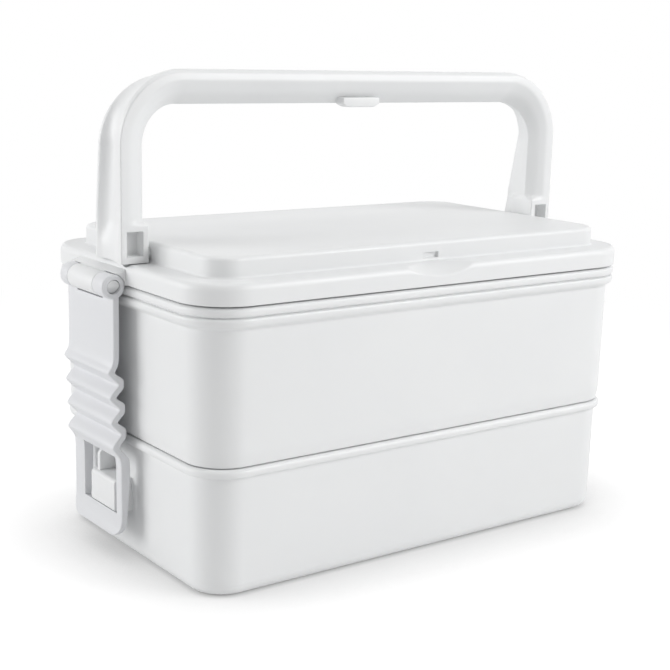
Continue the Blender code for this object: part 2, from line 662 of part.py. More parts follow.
def handle_stations():
    """Half of the handle's path from the right foot: outer point, inward direction, section."""
    block_top = LID_TOP + FOOT_BLOCK_HEIGHT
    corner_z = HANDLE_TOP - HANDLE_CORNER
    corner_x = HANDLE_OUTER - HANDLE_CORNER
    stations = [(HANDLE_OUTER, LID_TOP + CLEARANCE, 0.0, foot_to_leg(0, 0)),
                (HANDLE_OUTER, LID_TOP + FOOT_LOW_HEIGHT, 0.0, foot_to_leg(0, 0)),
                (HANDLE_OUTER, block_top, 0.0, foot_to_leg(VALLEY_AT_BLOCK, 0)),
                (HANDLE_OUTER, block_top + FOOT_SHOULDER, 0.0, foot_to_leg(1, SCOOP_AT_SHOULDER)),
                (HANDLE_OUTER, block_top + FOOT_FADE, 0.0, foot_to_leg(1, 1)),
                (HANDLE_OUTER, corner_z, 0.0, leg_section(HANDLE_LEG))]
    for step in range(1, CORNER_STEPS + 1):
        share = step / CORNER_STEPS
        angle = math.radians(90 * share)
        width = HANDLE_LEG + share * (HANDLE_GRIP - HANDLE_LEG)
        section = mixed(leg_section(width), grip_section(width), share)
        stations.append((corner_x + HANDLE_CORNER * math.cos(angle),
                         corner_z + HANDLE_CORNER * math.sin(angle), angle, section))
    return stations


def handle_ring(station, mirror):
    """Place a section on the path; the section's outer edge lies on the outer line."""
    x, z, angle, section = station
    width = max(point[0] for point in section)
    ring = []
    for reach, y in section:
        inward = width - reach
        ring.append((mirror * (x - inward * math.cos(angle)), y, z - inward * math.sin(angle)))
    return ring


def make_handle(material):
    """The folding handle: two legs and a grip in one sweep, with feet, windows and pins."""
    stations = handle_stations()
    rings = [handle_ring(station, 1) for station in stations]
    rings += [handle_ring(station, -1) for station in reversed(stations)]
    handle = skin("handle", rings, material)
    inner = HANDLE_OUTER - HANDLE_LEG
    pin_end = LID_HALF_LENGTH - DOME_INSET - DOME_WALL + CLEARANCE
    window_low = LID_TOP + FOOT_WINDOW_RISE
    middle = HANDLE_OUTER - HANDLE_LEG / 2
    for side in (-1, 1):
        ends = sorted((side * pin_end, side * (inner + PIVOT_PIN_RADIUS)))
        pin = rod("join_handle_pin", "X", ends[0], ends[1], (PIVOT_Y, PIVOT_Z), PIVOT_PIN_RADIUS)
        combine(handle, pin, "UNION")
        ends = sorted((side * (middle - FOOT_WINDOW / 2), side * (middle + FOOT_WINDOW / 2)))
        window = block("cut_foot_window", (ends[0], HANDLE_FRONT - FOOT_WINDOW_DEPTH, window_low),
                       (ends[1], HANDLE_FRONT + FOOT_WINDOW_DEPTH, window_low + FOOT_WINDOW_HEIGHT))
        combine(handle, window, "DIFFERENCE")
    underside = HANDLE_TOP - HANDLE_GRIP
    half = NUB_LENGTH / 2
    root = underside + 2 * NUB_DROP
    points = [(-half, root), (-half, underside), (-half + 2 * NUB_DROP, underside - NUB_DROP),
              (half - 2 * NUB_DROP, underside - NUB_DROP), (half, underside), (half, root)]
    nub_front = HANDLE_FRONT + NUB_BACK
    nub = prism("join_nub", points, "Y", nub_front, nub_front + NUB_DEPTH)
    combine(handle, nub, "UNION")
    set_origin(handle, (0.0, PIVOT_Y, PIVOT_Z))
    return handle


def main():
    clear_scene()
    lower = make_lower_box(plastic("lower_box_plastic", WHITE, 0.42))
    upper = make_upper_box(plastic("upper_box_plastic", WHITE, 0.42))
    middle = make_middle_lid(plastic("middle_lid_plastic", MILKY, 0.45))
    middle_plug = LOWER_INSET + LOWER_WALL + PLUG_GAP
    middle_seal = seal_ring("middle_lid_seal", middle_plug, MIDDLE_BASE - SEAL_DROP,
                            plastic("middle_seal_silicone", MILKY, 0.6))
    lid = make_lid(plastic("lid_plastic", WHITE, 0.42))
    lid_plug = UPPER_INSET + UPPER_WALL + PLUG_GAP
    lid_seal = seal_ring("lid_seal", lid_plug, UPPER_TOP - SEAL_DROP,
                         plastic("lid_seal_silicone", MILKY, 0.6))
    for side in ("left", "right"):
        make_catch(lower, side)
        make_barrel(lid, side)
        make_latch(side, plastic(side + "_latch_plastic", WHITE, 0.42))
    make_lid_details(lid)
    handle = make_handle(plastic("handle_plastic", WHITE, 0.42))
    for item in (lower, upper, middle, middle_seal, lid, lid_seal, handle):
        print(item.name, [round(size * 1000, 1) for size in item.dimensions])


main()
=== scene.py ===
# %% [markdown]
# # A white two-tier lunch box
# The real object is a set of thin injection mouldings in white polypropylene: two boxes, a domed
# lid, a folding handle and two corrugated latches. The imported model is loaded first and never
# changed. Every piece made below stands in the place of one of its solids, with finer edges and
# finishes, so all sizes are the real ones in metres.

# %% Load the frame and keep its size
import math

import bmesh
import bpy
import numpy as np
from mathutils import Matrix


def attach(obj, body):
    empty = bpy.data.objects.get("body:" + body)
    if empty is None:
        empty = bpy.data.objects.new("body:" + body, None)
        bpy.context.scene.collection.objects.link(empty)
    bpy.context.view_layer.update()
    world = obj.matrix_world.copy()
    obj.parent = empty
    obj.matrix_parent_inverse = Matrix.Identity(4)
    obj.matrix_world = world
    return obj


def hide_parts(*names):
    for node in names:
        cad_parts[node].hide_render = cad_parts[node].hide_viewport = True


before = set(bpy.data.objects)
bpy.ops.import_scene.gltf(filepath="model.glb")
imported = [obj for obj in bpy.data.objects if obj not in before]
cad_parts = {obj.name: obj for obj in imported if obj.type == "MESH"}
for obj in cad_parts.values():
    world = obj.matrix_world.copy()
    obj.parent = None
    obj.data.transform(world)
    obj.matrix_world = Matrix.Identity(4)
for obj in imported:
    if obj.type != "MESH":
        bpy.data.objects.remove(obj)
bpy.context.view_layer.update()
MM = 0.001
print("nodes:", sorted(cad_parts))

# %% [markdown]
# ## The camera
# A photograph fixes where its camera stood once enough edges of known size are found in it. The
# turn, tilt and roll below come from the rims, corners and handle. Blender's camera looks along
# its own -Z, so its three axes are written as the columns of its matrix.

# %% Place the camera
CAMERA_PLACE = np.array([-313.22, -418.51, 185.11]) * MM
CAMERA_YAW = 0.6364
CAMERA_PITCH = 0.2124
CAMERA_ROLL = 0.0247
CAMERA_LENS = 71.86
SENSOR_WIDTH = 36.0


def camera_axes(yaw, pitch, roll):
    """Right, up and view directions: a level view turned by yaw, tipped down by pitch, then rolled."""
    level = np.array([math.sin(yaw), math.cos(yaw), 0.0])
    right = np.array([math.cos(yaw), -math.sin(yaw), 0.0])
    zenith = np.array([0.0, 0.0, 1.0])
    ahead = math.cos(pitch) * level - math.sin(pitch) * zenith
    up = math.sin(pitch) * level + math.cos(pitch) * zenith
    return (math.cos(roll) * right + math.sin(roll) * up,
            math.cos(roll) * up - math.sin(roll) * right, ahead)


camera_data = bpy.data.cameras.new("camera")
camera_data.lens = CAMERA_LENS
camera_data.sensor_width = SENSOR_WIDTH
camera_data.sensor_fit = "HORIZONTAL"
camera_data.clip_start = 10 * MM
camera = bpy.data.objects.new("camera", camera_data)
bpy.context.collection.objects.link(camera)
right, up, ahead = camera_axes(CAMERA_YAW, CAMERA_PITCH, CAMERA_ROLL)
placed = np.eye(4)
placed[:3, 0], placed[:3, 1], placed[:3, 2], placed[:3, 3] = right, up, -ahead, CAMERA_PLACE
camera.matrix_world = Matrix(placed.tolist())
bpy.context.scene.camera = camera
bpy.context.scene.view_settings.view_transform = "Standard"
print("camera at", CAMERA_PLACE, "looking along", ahead.round(3))

# %% [markdown]
# ## A node helper and colours
# A finish is a small graph of nodes. One function adds a node, sets its options and fills or links
# its inputs, which keeps each finish short to read. Colours are written as the hex values that a
# screen shows, and turned to the linear light that the renderer works with.

# %% Colour and node helpers
def linear(code):
    """sRGB hex to linear red, green, blue: a straight part near black, and a power of 2.4 above it."""
    shown = np.array([int(code[place:place + 2], 16) for place in (1, 3, 5)]) / 255
    light = np.where(shown <= 0.04045, shown / 12.92, ((shown + 0.055) / 1.055) ** 2.4)
    return (*light.tolist(), 1.0)


def add(tree, kind, inputs=None, **settings):
    """Add a node; settings are its options, and each input is given a value or linked to a socket."""
    node = tree.nodes.new(kind)
    for option, value in settings.items():
        setattr(node, option, value)
    for name, value in (inputs or {}).items():
        if isinstance(value, bpy.types.NodeSocket):
            tree.links.new(value, node.inputs[name])
        else:
            node.inputs[name].default_value = value
    return node


def start_material(name):
    """A material with an empty graph and its output node."""
    material = bpy.data.materials.new(name)
    material.use_nodes = True
    material.node_tree.nodes.clear()
    return material, material.node_tree


print("white in linear light:", [round(value, 3) for value in linear("#E8E9EA")[:3]])

# %% [markdown]
# ## Moulded polypropylene
# The boxes, lid, handle and latches are injection moulded polypropylene, a waxy plastic that lets
# a little light in below its surface. The tool is spark eroded, which leaves a fine even grain
# and a satin sheen. Slow clouds in the colour stand for the flow of the melt, and short faint rubs
# in the sheen for handling. The real grain is about 0.1 mm, too fine to show, so it is drawn
# at 0.5 mm and kept low.

# %% Finish of the white mouldings
GRAIN_SIZE = 0.5 * MM
CLOUD_SIZE = 45 * MM
RUB_LENGTH = 9 * MM
RUB_WIDTH = 0.5 * MM
RUB_TURN = (0.4, 0.9, 0.3)
RUB_NOISE = (0.35, 0.75)
SHEEN_DULL, SHEEN_BRIGHT = 0.03, 0.04
GRAIN_STRENGTH = 0.35
POLYPROPYLENE_IOR = 1.49


def moulded_plastic(name, light, dark, roughness, depth, below, scatter):
    """Satin moulded plastic: clouded colour, rubbed sheen, eroded grain and light from below it."""
    material, tree = start_material(name)
    place = add(tree, "ShaderNodeTexCoord").outputs["Object"]
    clouds = add(tree, "ShaderNodeTexNoise",
                 {"Vector": place, "Scale": 1 / CLOUD_SIZE, "Detail": 2.0, "Roughness": 0.5})
    colour = add(tree, "ShaderNodeMix",
                 {"Factor": clouds.outputs["Fac"], "A": linear(dark), "B": linear(light)},
                 data_type="RGBA")
    stretched = add(tree, "ShaderNodeMapping",
                    {"Vector": place, "Rotation": RUB_TURN,
                     "Scale": (1 / RUB_LENGTH, 1 / RUB_WIDTH, 1 / RUB_WIDTH)})
    rubs = add(tree, "ShaderNodeTexNoise",
               {"Vector": stretched.outputs["Vector"], "Scale": 1.0, "Detail": 1.0})
    sheen = add(tree, "ShaderNodeMapRange",
                {"Value": rubs.outputs["Fac"], "From Min": RUB_NOISE[0], "From Max": RUB_NOISE[1],
                 "To Min": roughness + SHEEN_DULL, "To Max": roughness - SHEEN_BRIGHT})
    grain = add(tree, "ShaderNodeTexNoise",
                {"Vector": place, "Scale": 1 / GRAIN_SIZE, "Detail": 3.0, "Roughness": 0.6})
    relief = add(tree, "ShaderNodeBump",
                 {"Height": grain.outputs["Fac"], "Strength": GRAIN_STRENGTH, "Distance": depth})
    shader = add(tree, "ShaderNodeBsdfPrincipled",
                 {"Base Color": colour.outputs["Result"], "Roughness": sheen.outputs["Result"],
                  "IOR": POLYPROPYLENE_IOR, "Subsurface Weight": below, "Subsurface Scale": scatter,
                  "Subsurface Radius": (1.0, 0.95, 0.9), "Normal": relief.outputs["Normal"]})
    add(tree, "ShaderNodeOutputMaterial", {"Surface": shader.outputs["BSDF"]})
    return material


white_polypropylene = moulded_plastic("white_moulded_polypropylene", "#ECEDED", "#E7E8E9", 0.39,
                                      0.03 * MM, 0.05, 1.0 * MM)
latch_polypropylene = moulded_plastic("latch_moulded_polypropylene", "#E2E3E5", "#DDDEE1", 0.37,
                                      0.03 * MM, 0.05, 1.0 * MM)
print("made", white_polypropylene.name, "and", latch_polypropylene.name)

# %% [markdown]
# ## Milky plastic and silicone
# The hidden middle lid is thin low-density polyethylene, which is milkier and softer than the
# white mouldings. Its seal and the lid's are moulded silicone: almost clear, rubbery, with a dull
# bloom that catches light at the edge, which sheen gives.

# %% Finish of the middle lid and the seals
SILICONE_CLOUDS = 12 * MM
SILICONE_SKIN = 0.4 * MM
SILICONE_IOR = 1.41
milky_polyethylene = moulded_plastic("milky_moulded_polyethylene", "#E3E6E7", "#DADEE0", 0.46,
                                     0.02 * MM, 0.25, 2.5 * MM)


def moulded_silicone(name):
    """Rubbery silicone: a cloudy light tint, even dullness and a soft bloom."""
    material, tree = start_material(name)
    place = add(tree, "ShaderNodeTexCoord").outputs["Object"]
    clouds = add(tree, "ShaderNodeTexNoise",
                 {"Vector": place, "Scale": 1 / SILICONE_CLOUDS, "Detail": 3.0})
    colour = add(tree, "ShaderNodeMix",
                 {"Factor": clouds.outputs["Fac"], "A": linear("#D3D8DA"), "B": linear("#E0E3E3")},
                 data_type="RGBA")
    skin = add(tree, "ShaderNodeTexNoise", {"Vector": place, "Scale": 1 / SILICONE_SKIN, "Detail": 2.0})
    relief = add(tree, "ShaderNodeBump",
                 {"Height": skin.outputs["Fac"], "Strength": 0.2, "Distance": 0.02 * MM})
    shader = add(tree, "ShaderNodeBsdfPrincipled",
                 {"Base Color": colour.outputs["Result"], "Roughness": 0.55, "IOR": SILICONE_IOR,
                  "Subsurface Weight": 0.35, "Subsurface Scale": 3 * MM, "Sheen Weight": 0.2,
                  "Normal": relief.outputs["Normal"]})
    add(tree, "ShaderNodeOutputMaterial", {"Surface": shader.outputs["BSDF"]})
    return material


silicone = moulded_silicone("translucent_moulded_silicone")
print("made", milky_polyethylene.name, "and", silicone.name)

# %% [markdown]
# ## Meshes from arrays
# Each moulding is a grid of points: one direction goes round or along the piece, the other through
# its section. A grid is turned into quads by joining every point to its neighbours. Ends are
# closed with flat faces, doubles are merged and the faces turned outwards.

# %% Grid, finish and carving helpers
SHARP_ANGLE = math.radians(35)
SAME_POINT = 0.002 * MM


def new_piece(name, points, faces):
    """A mesh object from points and faces, with doubles merged and its faces turned outwards."""
    mesh = bpy.data.meshes.new(name)
    mesh.from_pydata(np.asarray(points).reshape(-1, 3).tolist(), [], faces)
    builder = bmesh.new()
    builder.from_mesh(mesh)
    bmesh.ops.remove_doubles(builder, verts=builder.verts, dist=SAME_POINT)
    bmesh.ops.recalc_face_normals(builder, faces=builder.faces)
    builder.to_mesh(mesh)
    builder.free()
    piece = bpy.data.objects.new(name, mesh)
    bpy.context.collection.objects.link(piece)
    return piece


def grid_piece(name, grid, ring=False):
    """Quads between neighbours of a grid (row, column, 3); columns close on themselves, and so do
    the rows of a ring. Without a ring, a flat face closes the first row and the last."""
    rows, columns = grid.shape[:2]
    index = np.arange(rows * columns).reshape(rows, columns)
    index = np.hstack([index, index[:, :1]])
    if ring:
        index = np.vstack([index, index[:1]])
    quads = np.stack([index[:-1, :-1], index[:-1, 1:], index[1:, 1:], index[1:, :-1]], axis=-1)
    faces = quads.reshape(-1, 4).tolist()
    if not ring:
        faces += [index[0, -2::-1].tolist(), index[-1, :-1].tolist()]
    return new_piece(name, grid, faces)


def settle(piece):
    """Turn the piece's modifiers into its mesh."""
    shape = bpy.data.meshes.new_from_object(piece.evaluated_get(bpy.context.evaluated_depsgraph_get()))
    piece.modifiers.clear()
    piece.data = shape


def carve(piece, cutter, operation="DIFFERENCE"):
    """Cut one solid out of another or join it on, and remove the cutter."""
    step = piece.modifiers.new("carve", "BOOLEAN")
    step.operation = operation
    step.solver = "EXACT"
    step.object = cutter
    settle(piece)
    bpy.data.objects.remove(cutter)


def soften(piece, width, segments=3):
    """Round every sharp edge to a width, as a moulding tool does."""
    step = piece.modifiers.new("soften", "BEVEL")
    step.width = width
    step.segments = segments
    step.limit_method = "ANGLE"
    step.angle_limit = SHARP_ANGLE
    settle(piece)


def dress(piece, body, material, slot, *nodes):
    """Smooth the piece except over sharp edges, give it its finish, and let it ride on its body."""
    mesh = piece.data
    mesh.polygons.foreach_set("use_smooth", np.ones(len(mesh.polygons), bool))
    mesh.set_sharp_from_angle(angle=SHARP_ANGLE)
    mesh.materials.clear()
    mesh.materials.append(material)
    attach(piece, body)
    if nodes:
        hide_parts(*nodes)
    print(piece.name, len(mesh.polygons), "faces")


# %% [markdown]
# ## Sections with round corners
# Nothing that is moulded has a truly sharp edge. A section is therefore written as a list of
# corners, each with the length that its rounding takes off the two sides. The rounding is a conic
# arc, which is a true circle where both lengths are equal. A close row of points beside each arc
# keeps wide flat faces flat when the light runs over them.

# %% Round the corners of a section
ARC_STEPS = 6
LONGEST_CUT = 0.48
SUPPORT = 0.3


def arc_over(before, corner, after, cut, steps):
    """Points of a conic arc that starts and ends at the cut length along the two sides of a corner.
    Its weight is the sine of half the angle between them, which makes it a circle."""
    sides = []
    for other in (before, after):
        run = other[:2] - corner[:2]
        length = np.linalg.norm(run)
        share = min(cut / length, LONGEST_CUT)
        sides.append((corner + share * (other - corner), run / length))
    (start, one), (end, two) = sides
    weight = math.sqrt(max((1 - float(one @ two)) / 2, 0.0))
    share = np.linspace(0, 1, steps + 1)[:, None]
    pull = 2 * weight * share * (1 - share)
    total = (1 - share) ** 2 + pull + share ** 2
    return ((1 - share) ** 2 * start + pull * corner + share ** 2 * end) / total


def rounded(corners, closed=False, steps=ARC_STEPS):
    """Round a line of corners (place, place, ..., cut); a corner without a cut stays one point."""
    corners = np.asarray(corners, float)
    spots, cuts = corners[:, :-1], corners[:, -1]
    count = len(spots)
    line = []
    for index in range(count):
        at_end = not closed and index in (0, count - 1)
        if at_end or cuts[index] == 0:
            line.append(spots[index][None])
        else:
            after = spots[(index + 1) % count]
            line.append(arc_over(spots[index - 1], spots[index], after, cuts[index], steps))
    return np.vstack(line)


def supported(line):
    """Add a point near both ends of each long stretch of a line."""
    spots = [line[:1]]
    for start, end in zip(line, line[1:]):
        length = np.linalg.norm((end - start)[:2])
        if length > 4 * SUPPORT:
            share = SUPPORT / length
            spots.append(np.array([start + share * (end - start), end - share * (end - start)]))
        spots.append(end[None])
    return np.vstack(spots)


print("a right angle rounded by 2:", rounded([(0, 4, 0), (0, 0, 2), (4, 0, 0)]).round(2)[:3].tolist())

# %% [markdown]
# ## The outline that every moulding follows
# Lid, boxes and seals all follow one rounded rectangle, each a little further in. Moving a rounded
# rectangle inwards keeps the centres of its corners, so a section point only needs its distance
# from the lid's edge, its height and, for the dome, a corner of its own. The front is divided
# finely where the finger notch and the slot will be pressed into it.

# %% Outline and mouldings
LID_HALF_LENGTH = 100.0
LID_HALF_DEPTH = 60.25
LID_CORNER = 18.5
LEAST_CORNER = 1.0
CORNER_STEPS = 20
CAP_INSET = 24.0
END_SPOTS = np.array([-30.0, -10.0, 10.0, 30.0])
SIDE_SPOTS = np.array([-60.0, -20.0, 20.0, 60.0])


def outline(inset, corner, spots):
    """Closed lines at a distance inside the lid's edge, one row for each inset: every corner is a
    quarter circle about its own centre, and the sides between them are straight."""
    inset, corner = np.asarray(inset)[:, None], np.asarray(corner)[:, None]
    radius = np.maximum(corner - inset, LEAST_CORNER)
    centre_x = LID_HALF_LENGTH - inset - radius
    centre_y = LID_HALF_DEPTH - inset - radius
    level = np.ones_like(inset)
    x, y = [], []
    turns = np.radians(np.linspace(0, 90, CORNER_STEPS + 1))
    sides = ((1, 1, 0), (-1, 1, 90), (-1, -1, 180), (1, -1, 270))
    for sign_x, sign_y, start in sides:
        angle = turns + math.radians(start)
        x.append(sign_x * centre_x + radius * np.cos(angle))
        y.append(sign_y * centre_y + radius * np.sin(angle))
        if start in (0, 180):
            x.append(level * (spots[::-1] if start == 0 else spots))
            y.append(level * sign_y * (LID_HALF_DEPTH - inset) * np.ones(len(spots)))
        else:
            y.append(level * (END_SPOTS[::-1] if start == 90 else END_SPOTS))
            x.append(level * sign_x * (LID_HALF_LENGTH - inset) * np.ones(len(END_SPOTS)))
    return np.hstack(x), np.hstack(y)


def moulding_grid(corners, spots=SIDE_SPOTS):
    """Carry a section of corners (inset, height, outline corner, cut) round the outline."""
    section = supported(rounded(corners))
    x, y = outline(section[:, 0], section[:, 2], spots)
    height = np.repeat(section[:, 1:2], x.shape[1], axis=1)
    return np.stack([x, y, height], axis=-1)


def plain(*corners):
    """Section corners (inset, height, cut) that all share the lid's own corner."""
    return [(inset, height, LID_CORNER, cut) for inset, height, cut in corners]


print("outline points:", outline([0.0], [LID_CORNER], SIDE_SPOTS)[0].shape[1])

# %% [markdown]
# ## Lower box
# The lower tier is a deep tray. From below it has a flat ring to stand on with a shallow recess
# inside it, then a large round up to the wall, a half round bead at the top, and inside a plain
# wall with a rounded floor. One section carried round the outline gives all of it.

# %% Make the lower box
LOWER_HEIGHT = 46.2
LOWER_FLOOR = 2.0
LOWER_BEAD = 2.4
BEAD_LOW = LOWER_HEIGHT - 3.1
lower_section = plain(
    (CAP_INSET, 0.8, 0), (16.3, 0.8, 0.4), (15.5, 0.0, 0.3), (4.7, 0.0, 4.5), (4.3, 43.0, 0.4),
    (LOWER_BEAD, BEAD_LOW, 1.5), (LOWER_BEAD, LOWER_HEIGHT, 1.5), (6.2, LOWER_HEIGHT, 0.4),
    (6.6, LOWER_FLOOR, 3.0), (CAP_INSET, LOWER_FLOOR, 0))
lower_box = grid_piece("lower_tier", moulding_grid(lower_section) * MM)
dress(lower_box, "base", white_polypropylene, "white_plastic", "lower_box")

# %% [markdown]
# ## Upper box
# The upper tier stands on a foot that hides the edge of the middle lid and tucks in a little. Its
# rim is two rounded beads with a fine deep groove between them, and the lower bead runs softly into
# the wall.

# %% Make the upper box
UPPER_BASE = 46.5
UPPER_UNDERSIDE = 48.6
UPPER_FLOOR = 50.4
UPPER_TOP = 101.6
RIM_INSET = 0.2
GROOVE_INSET = 1.5
upper_section = plain(
    (CAP_INSET, UPPER_UNDERSIDE, 0), (4.8, UPPER_UNDERSIDE, 0.4), (4.8, UPPER_BASE, 0.3),
    (3.8, UPPER_BASE, 0.5), (3.0, 50.8, 1.5), (2.7, 94.1, 0.8), (1.0, 94.8, 1.0),
    (RIM_INSET, 96.0, 0.7), (RIM_INSET, 97.85, 0.9), (GROOVE_INSET, 98.0, 0.2),
    (GROOVE_INSET, 98.4, 0.2), (RIM_INSET, 98.6, 1.1), (RIM_INSET, UPPER_TOP, 1.3),
    (4.5, UPPER_TOP, 0.5), (4.8, UPPER_FLOOR, 3.0), (CAP_INSET, UPPER_FLOOR, 0))
upper_box = grid_piece("upper_tier", moulding_grid(upper_section) * MM)
dress(upper_box, "upper", white_polypropylene, "white_plastic", "upper_box")

# %% [markdown]
# ## Middle lid and the two seals
# A flat lid closes the lower tier under the upper one. A short plug below it holds a silicone
# ring, and the domed lid holds another. Each ring is a solid strip with a pointed lip towards the
# wall that it seals against.

# %% Make the middle lid and the seals
SEAL_HEIGHT = 2.6
SEAL_DEPTH = 1.7
SEAL_PROUD = 0.5
MIDDLE_BASE = 46.5
MIDDLE_TOP = 48.3
MIDDLE_PLUG = 7.0
PLUG_LOW = 41.0
PLUG_HOLLOW = 10.4
LID_PLUG = 5.3
MIDDLE_SEAL_TOP = MIDDLE_BASE - 1.4
LID_SEAL_TOP = UPPER_TOP - 1.4


def groove(plug, top):
    """Section corners of the groove for a ring, from its lower to its upper lip."""
    low = top - SEAL_HEIGHT
    deep = plug + SEAL_DEPTH
    return [(plug, low, 0.2), (deep, low, 0.2), (deep, top, 0.2), (plug, top, 0.2)]


middle_section = plain(
    (CAP_INSET, MIDDLE_BASE, 0), (PLUG_HOLLOW, MIDDLE_BASE, 0.8), (PLUG_HOLLOW, PLUG_LOW, 0.8),
    (MIDDLE_PLUG, PLUG_LOW, 1.0), *groove(MIDDLE_PLUG, MIDDLE_SEAL_TOP),
    (MIDDLE_PLUG, MIDDLE_BASE, 0.2), (5.1, MIDDLE_BASE, 0.4), (5.1, MIDDLE_TOP, 0.5),
    (CAP_INSET, MIDDLE_TOP, 0))
middle_lid = grid_piece("middle_cover", moulding_grid(middle_section) * MM)
dress(middle_lid, "middle", milky_polyethylene, "milky_plastic", "middle_lid")


def seal_ring(name, plug, top):
    """A ring whose section is a strip with a pointed lip, carried round the outline."""
    inner, low, high = plug + SEAL_DEPTH - 0.3, top - SEAL_HEIGHT + 0.15, top - 0.15
    corners = plain((inner, low, 0.25), (plug, low, 0.2), (plug - SEAL_PROUD, (low + high) / 2, 0.25),
                    (plug, high, 0.2), (inner, high, 0.25))
    section = rounded(corners, closed=True, steps=4)
    x, y = outline(section[:, 0], section[:, 2], SIDE_SPOTS)
    height = np.repeat(section[:, 1:2], x.shape[1], axis=1)
    return grid_piece(name, np.stack([x, y, height], axis=-1) * MM, ring=True)


middle_seal = seal_ring("middle_cover_seal", MIDDLE_PLUG, MIDDLE_SEAL_TOP)
dress(middle_seal, "middle", silicone, "silicone", "middle_lid_seal")
lid_seal = seal_ring("dome_seal", LID_PLUG, LID_SEAL_TOP)
dress(lid_seal, "cover", silicone, "silicone", "lid_seal")

# %% [markdown]
# ## Domed lid
# The lid is a flange with a rounded edge and a lower skirt, and a flat-topped dome on it with
# tighter corners. A scoop in the flange's front edge lets a finger under the dome, and a small
# slot is pressed into the dome's front above it. Both could be cut with Booleans, but pressing
# them in by formula keeps the soft edges that a moulding has.

# %% Make the lid's skin
LID_BASE = 102.2
LID_TOP = 109.6
DOME_TOP = 117.0
EDGE_ROUND = 3.2
DOME_INSET = 9.3
DOME_OUTLINE = 19.8
ROOT_ROUND = 0.9
SLOT_PLACE = (0.8, LID_TOP + 2.2)
SLOT_HALF = (3.6, 1.05)
SLOT_DEPTH = 1.2
SLOT_EDGE = 0.2
NOTCH_CENTRE = -1.2
NOTCH_LENGTH = 33.0
NOTCH_DROP = 3.7
NOTCH_RUN = 8.4
NOTCH_EDGE = 0.8
DOME_CEILING = 115.0
SKIRT_CEILING = 106.1
LID_PLUG_LOW = 96.1
JUST = 1e-6

notch_spots = NOTCH_CENTRE + np.linspace(-NOTCH_LENGTH / 2, NOTCH_LENGTH / 2, 49)
slot_ends = SLOT_PLACE[0] + np.concatenate([np.linspace(-3.9, -3.3, 7), np.linspace(3.3, 3.9, 7)])
lid_spots = np.unique(np.concatenate([SIDE_SPOTS, notch_spots, slot_ends]))
root_rise = np.linspace(0, 4.2, 64)
root_below = np.clip(ROOT_ROUND - root_rise, 0, None)
root_inset = DOME_INSET - ROOT_ROUND + np.sqrt(ROOT_ROUND ** 2 - root_below ** 2)
root_rows = [(inset, LID_TOP + rise, DOME_OUTLINE, 0) for inset, rise in zip(root_inset, root_rise)]
lid_section = [
    (CAP_INSET, DOME_CEILING, DOME_OUTLINE, 0), (11.3, DOME_CEILING, DOME_OUTLINE, 1.0),
    (11.3, SKIRT_CEILING, DOME_OUTLINE, 0.6),
    *plain((8.7, SKIRT_CEILING, 0.3), (8.7, LID_PLUG_LOW, 0.8), (LID_PLUG, LID_PLUG_LOW, 1.0),
           *groove(LID_PLUG, LID_SEAL_TOP), (LID_PLUG, SKIRT_CEILING, 0.4),
           (2.8, SKIRT_CEILING, 0.5), (2.8, LID_BASE, 0.3), (0.0, LID_BASE, 0.4),
           (0.0, 104.2, 0), (0.0, LID_TOP, EDGE_ROUND)),
    *[(inset, LID_TOP, LID_CORNER, 0) for inset in np.linspace(3.6, 8.1, 7)],
    *root_rows, (DOME_INSET, DOME_TOP, DOME_OUTLINE, 1.8), (CAP_INSET, DOME_TOP, DOME_OUTLINE, 0)]


def press_notch(grid):
    """Lower the front edge to a scoop. Its floor is an arc across the front that rises backwards at
    an even slope; the front face below is squeezed to end at the arc, and its edge is rounded."""
    radius = (NOTCH_LENGTH ** 2 / 4 + NOTCH_DROP ** 2) / (2 * NOTCH_DROP)
    across = np.clip(grid[..., 0] - NOTCH_CENTRE, -NOTCH_LENGTH / 2, NOTCH_LENGTH / 2)
    drop = NOTCH_DROP - radius + np.sqrt(radius ** 2 - across ** 2)
    behind = grid[..., 1] + LID_HALF_DEPTH
    edge = NOTCH_EDGE / 2 * np.clip(1 - behind / NOTCH_EDGE, 0, 1) ** 2
    floor = LID_TOP - drop + behind * NOTCH_DROP / NOTCH_RUN - edge
    wall_top = LID_TOP - EDGE_ROUND
    front_top = np.minimum(wall_top, LID_TOP - drop - NOTCH_EDGE / 2)
    z = grid[..., 2]
    face = (z <= wall_top + JUST) & (z > LID_BASE + 0.5) & (behind < 0.01)
    squeezed = LID_BASE + (z - LID_BASE) * (front_top - LID_BASE) / (wall_top - LID_BASE)
    edge_rows = (z > wall_top) & (z < LID_TOP + 0.5) & (behind < NOTCH_RUN)
    front = (grid[..., 1] < 0) & (drop > 0)
    grid[..., 2] = np.where(front & face, squeezed, np.where(front & edge_rows, np.minimum(z, floor), z))
    return grid


def press_slot(grid):
    """Bring the dome's front face to the slot's floor; the share falls smoothly to nothing over a
    short distance at each of the slot's four sides."""
    floor = DOME_INSET - LID_HALF_DEPTH + SLOT_DEPTH
    on_face = (np.abs(grid[..., 1] - floor) < SLOT_DEPTH + ROOT_ROUND) & (grid[..., 2] > LID_TOP)
    share = np.ones(grid.shape[:2])
    for axis, centre, half in ((0, SLOT_PLACE[0], SLOT_HALF[0]), (2, SLOT_PLACE[1], SLOT_HALF[1])):
        inside = (half + SLOT_EDGE / 2 - np.abs(grid[..., axis] - centre)) / SLOT_EDGE
        inside = np.clip(inside, 0, 1)
        share *= inside * inside * (3 - 2 * inside)
    grid[..., 1] += np.where(on_face, share * (floor - grid[..., 1]), 0.0)
    return grid


lid_grid = press_slot(press_notch(moulding_grid(lid_section, lid_spots)))
lid = grid_piece("domed_cover", lid_grid * MM)
print("lid skin:", len(lid.data.polygons), "faces")

# %% [markdown]
# ## Turned and extruded shapes
# Pins, bores and barrels are round about an axis, so they are a radius that changes along it.
# Catches and shoulders are flat outlines pushed out to a width. Both are grids of rings again.

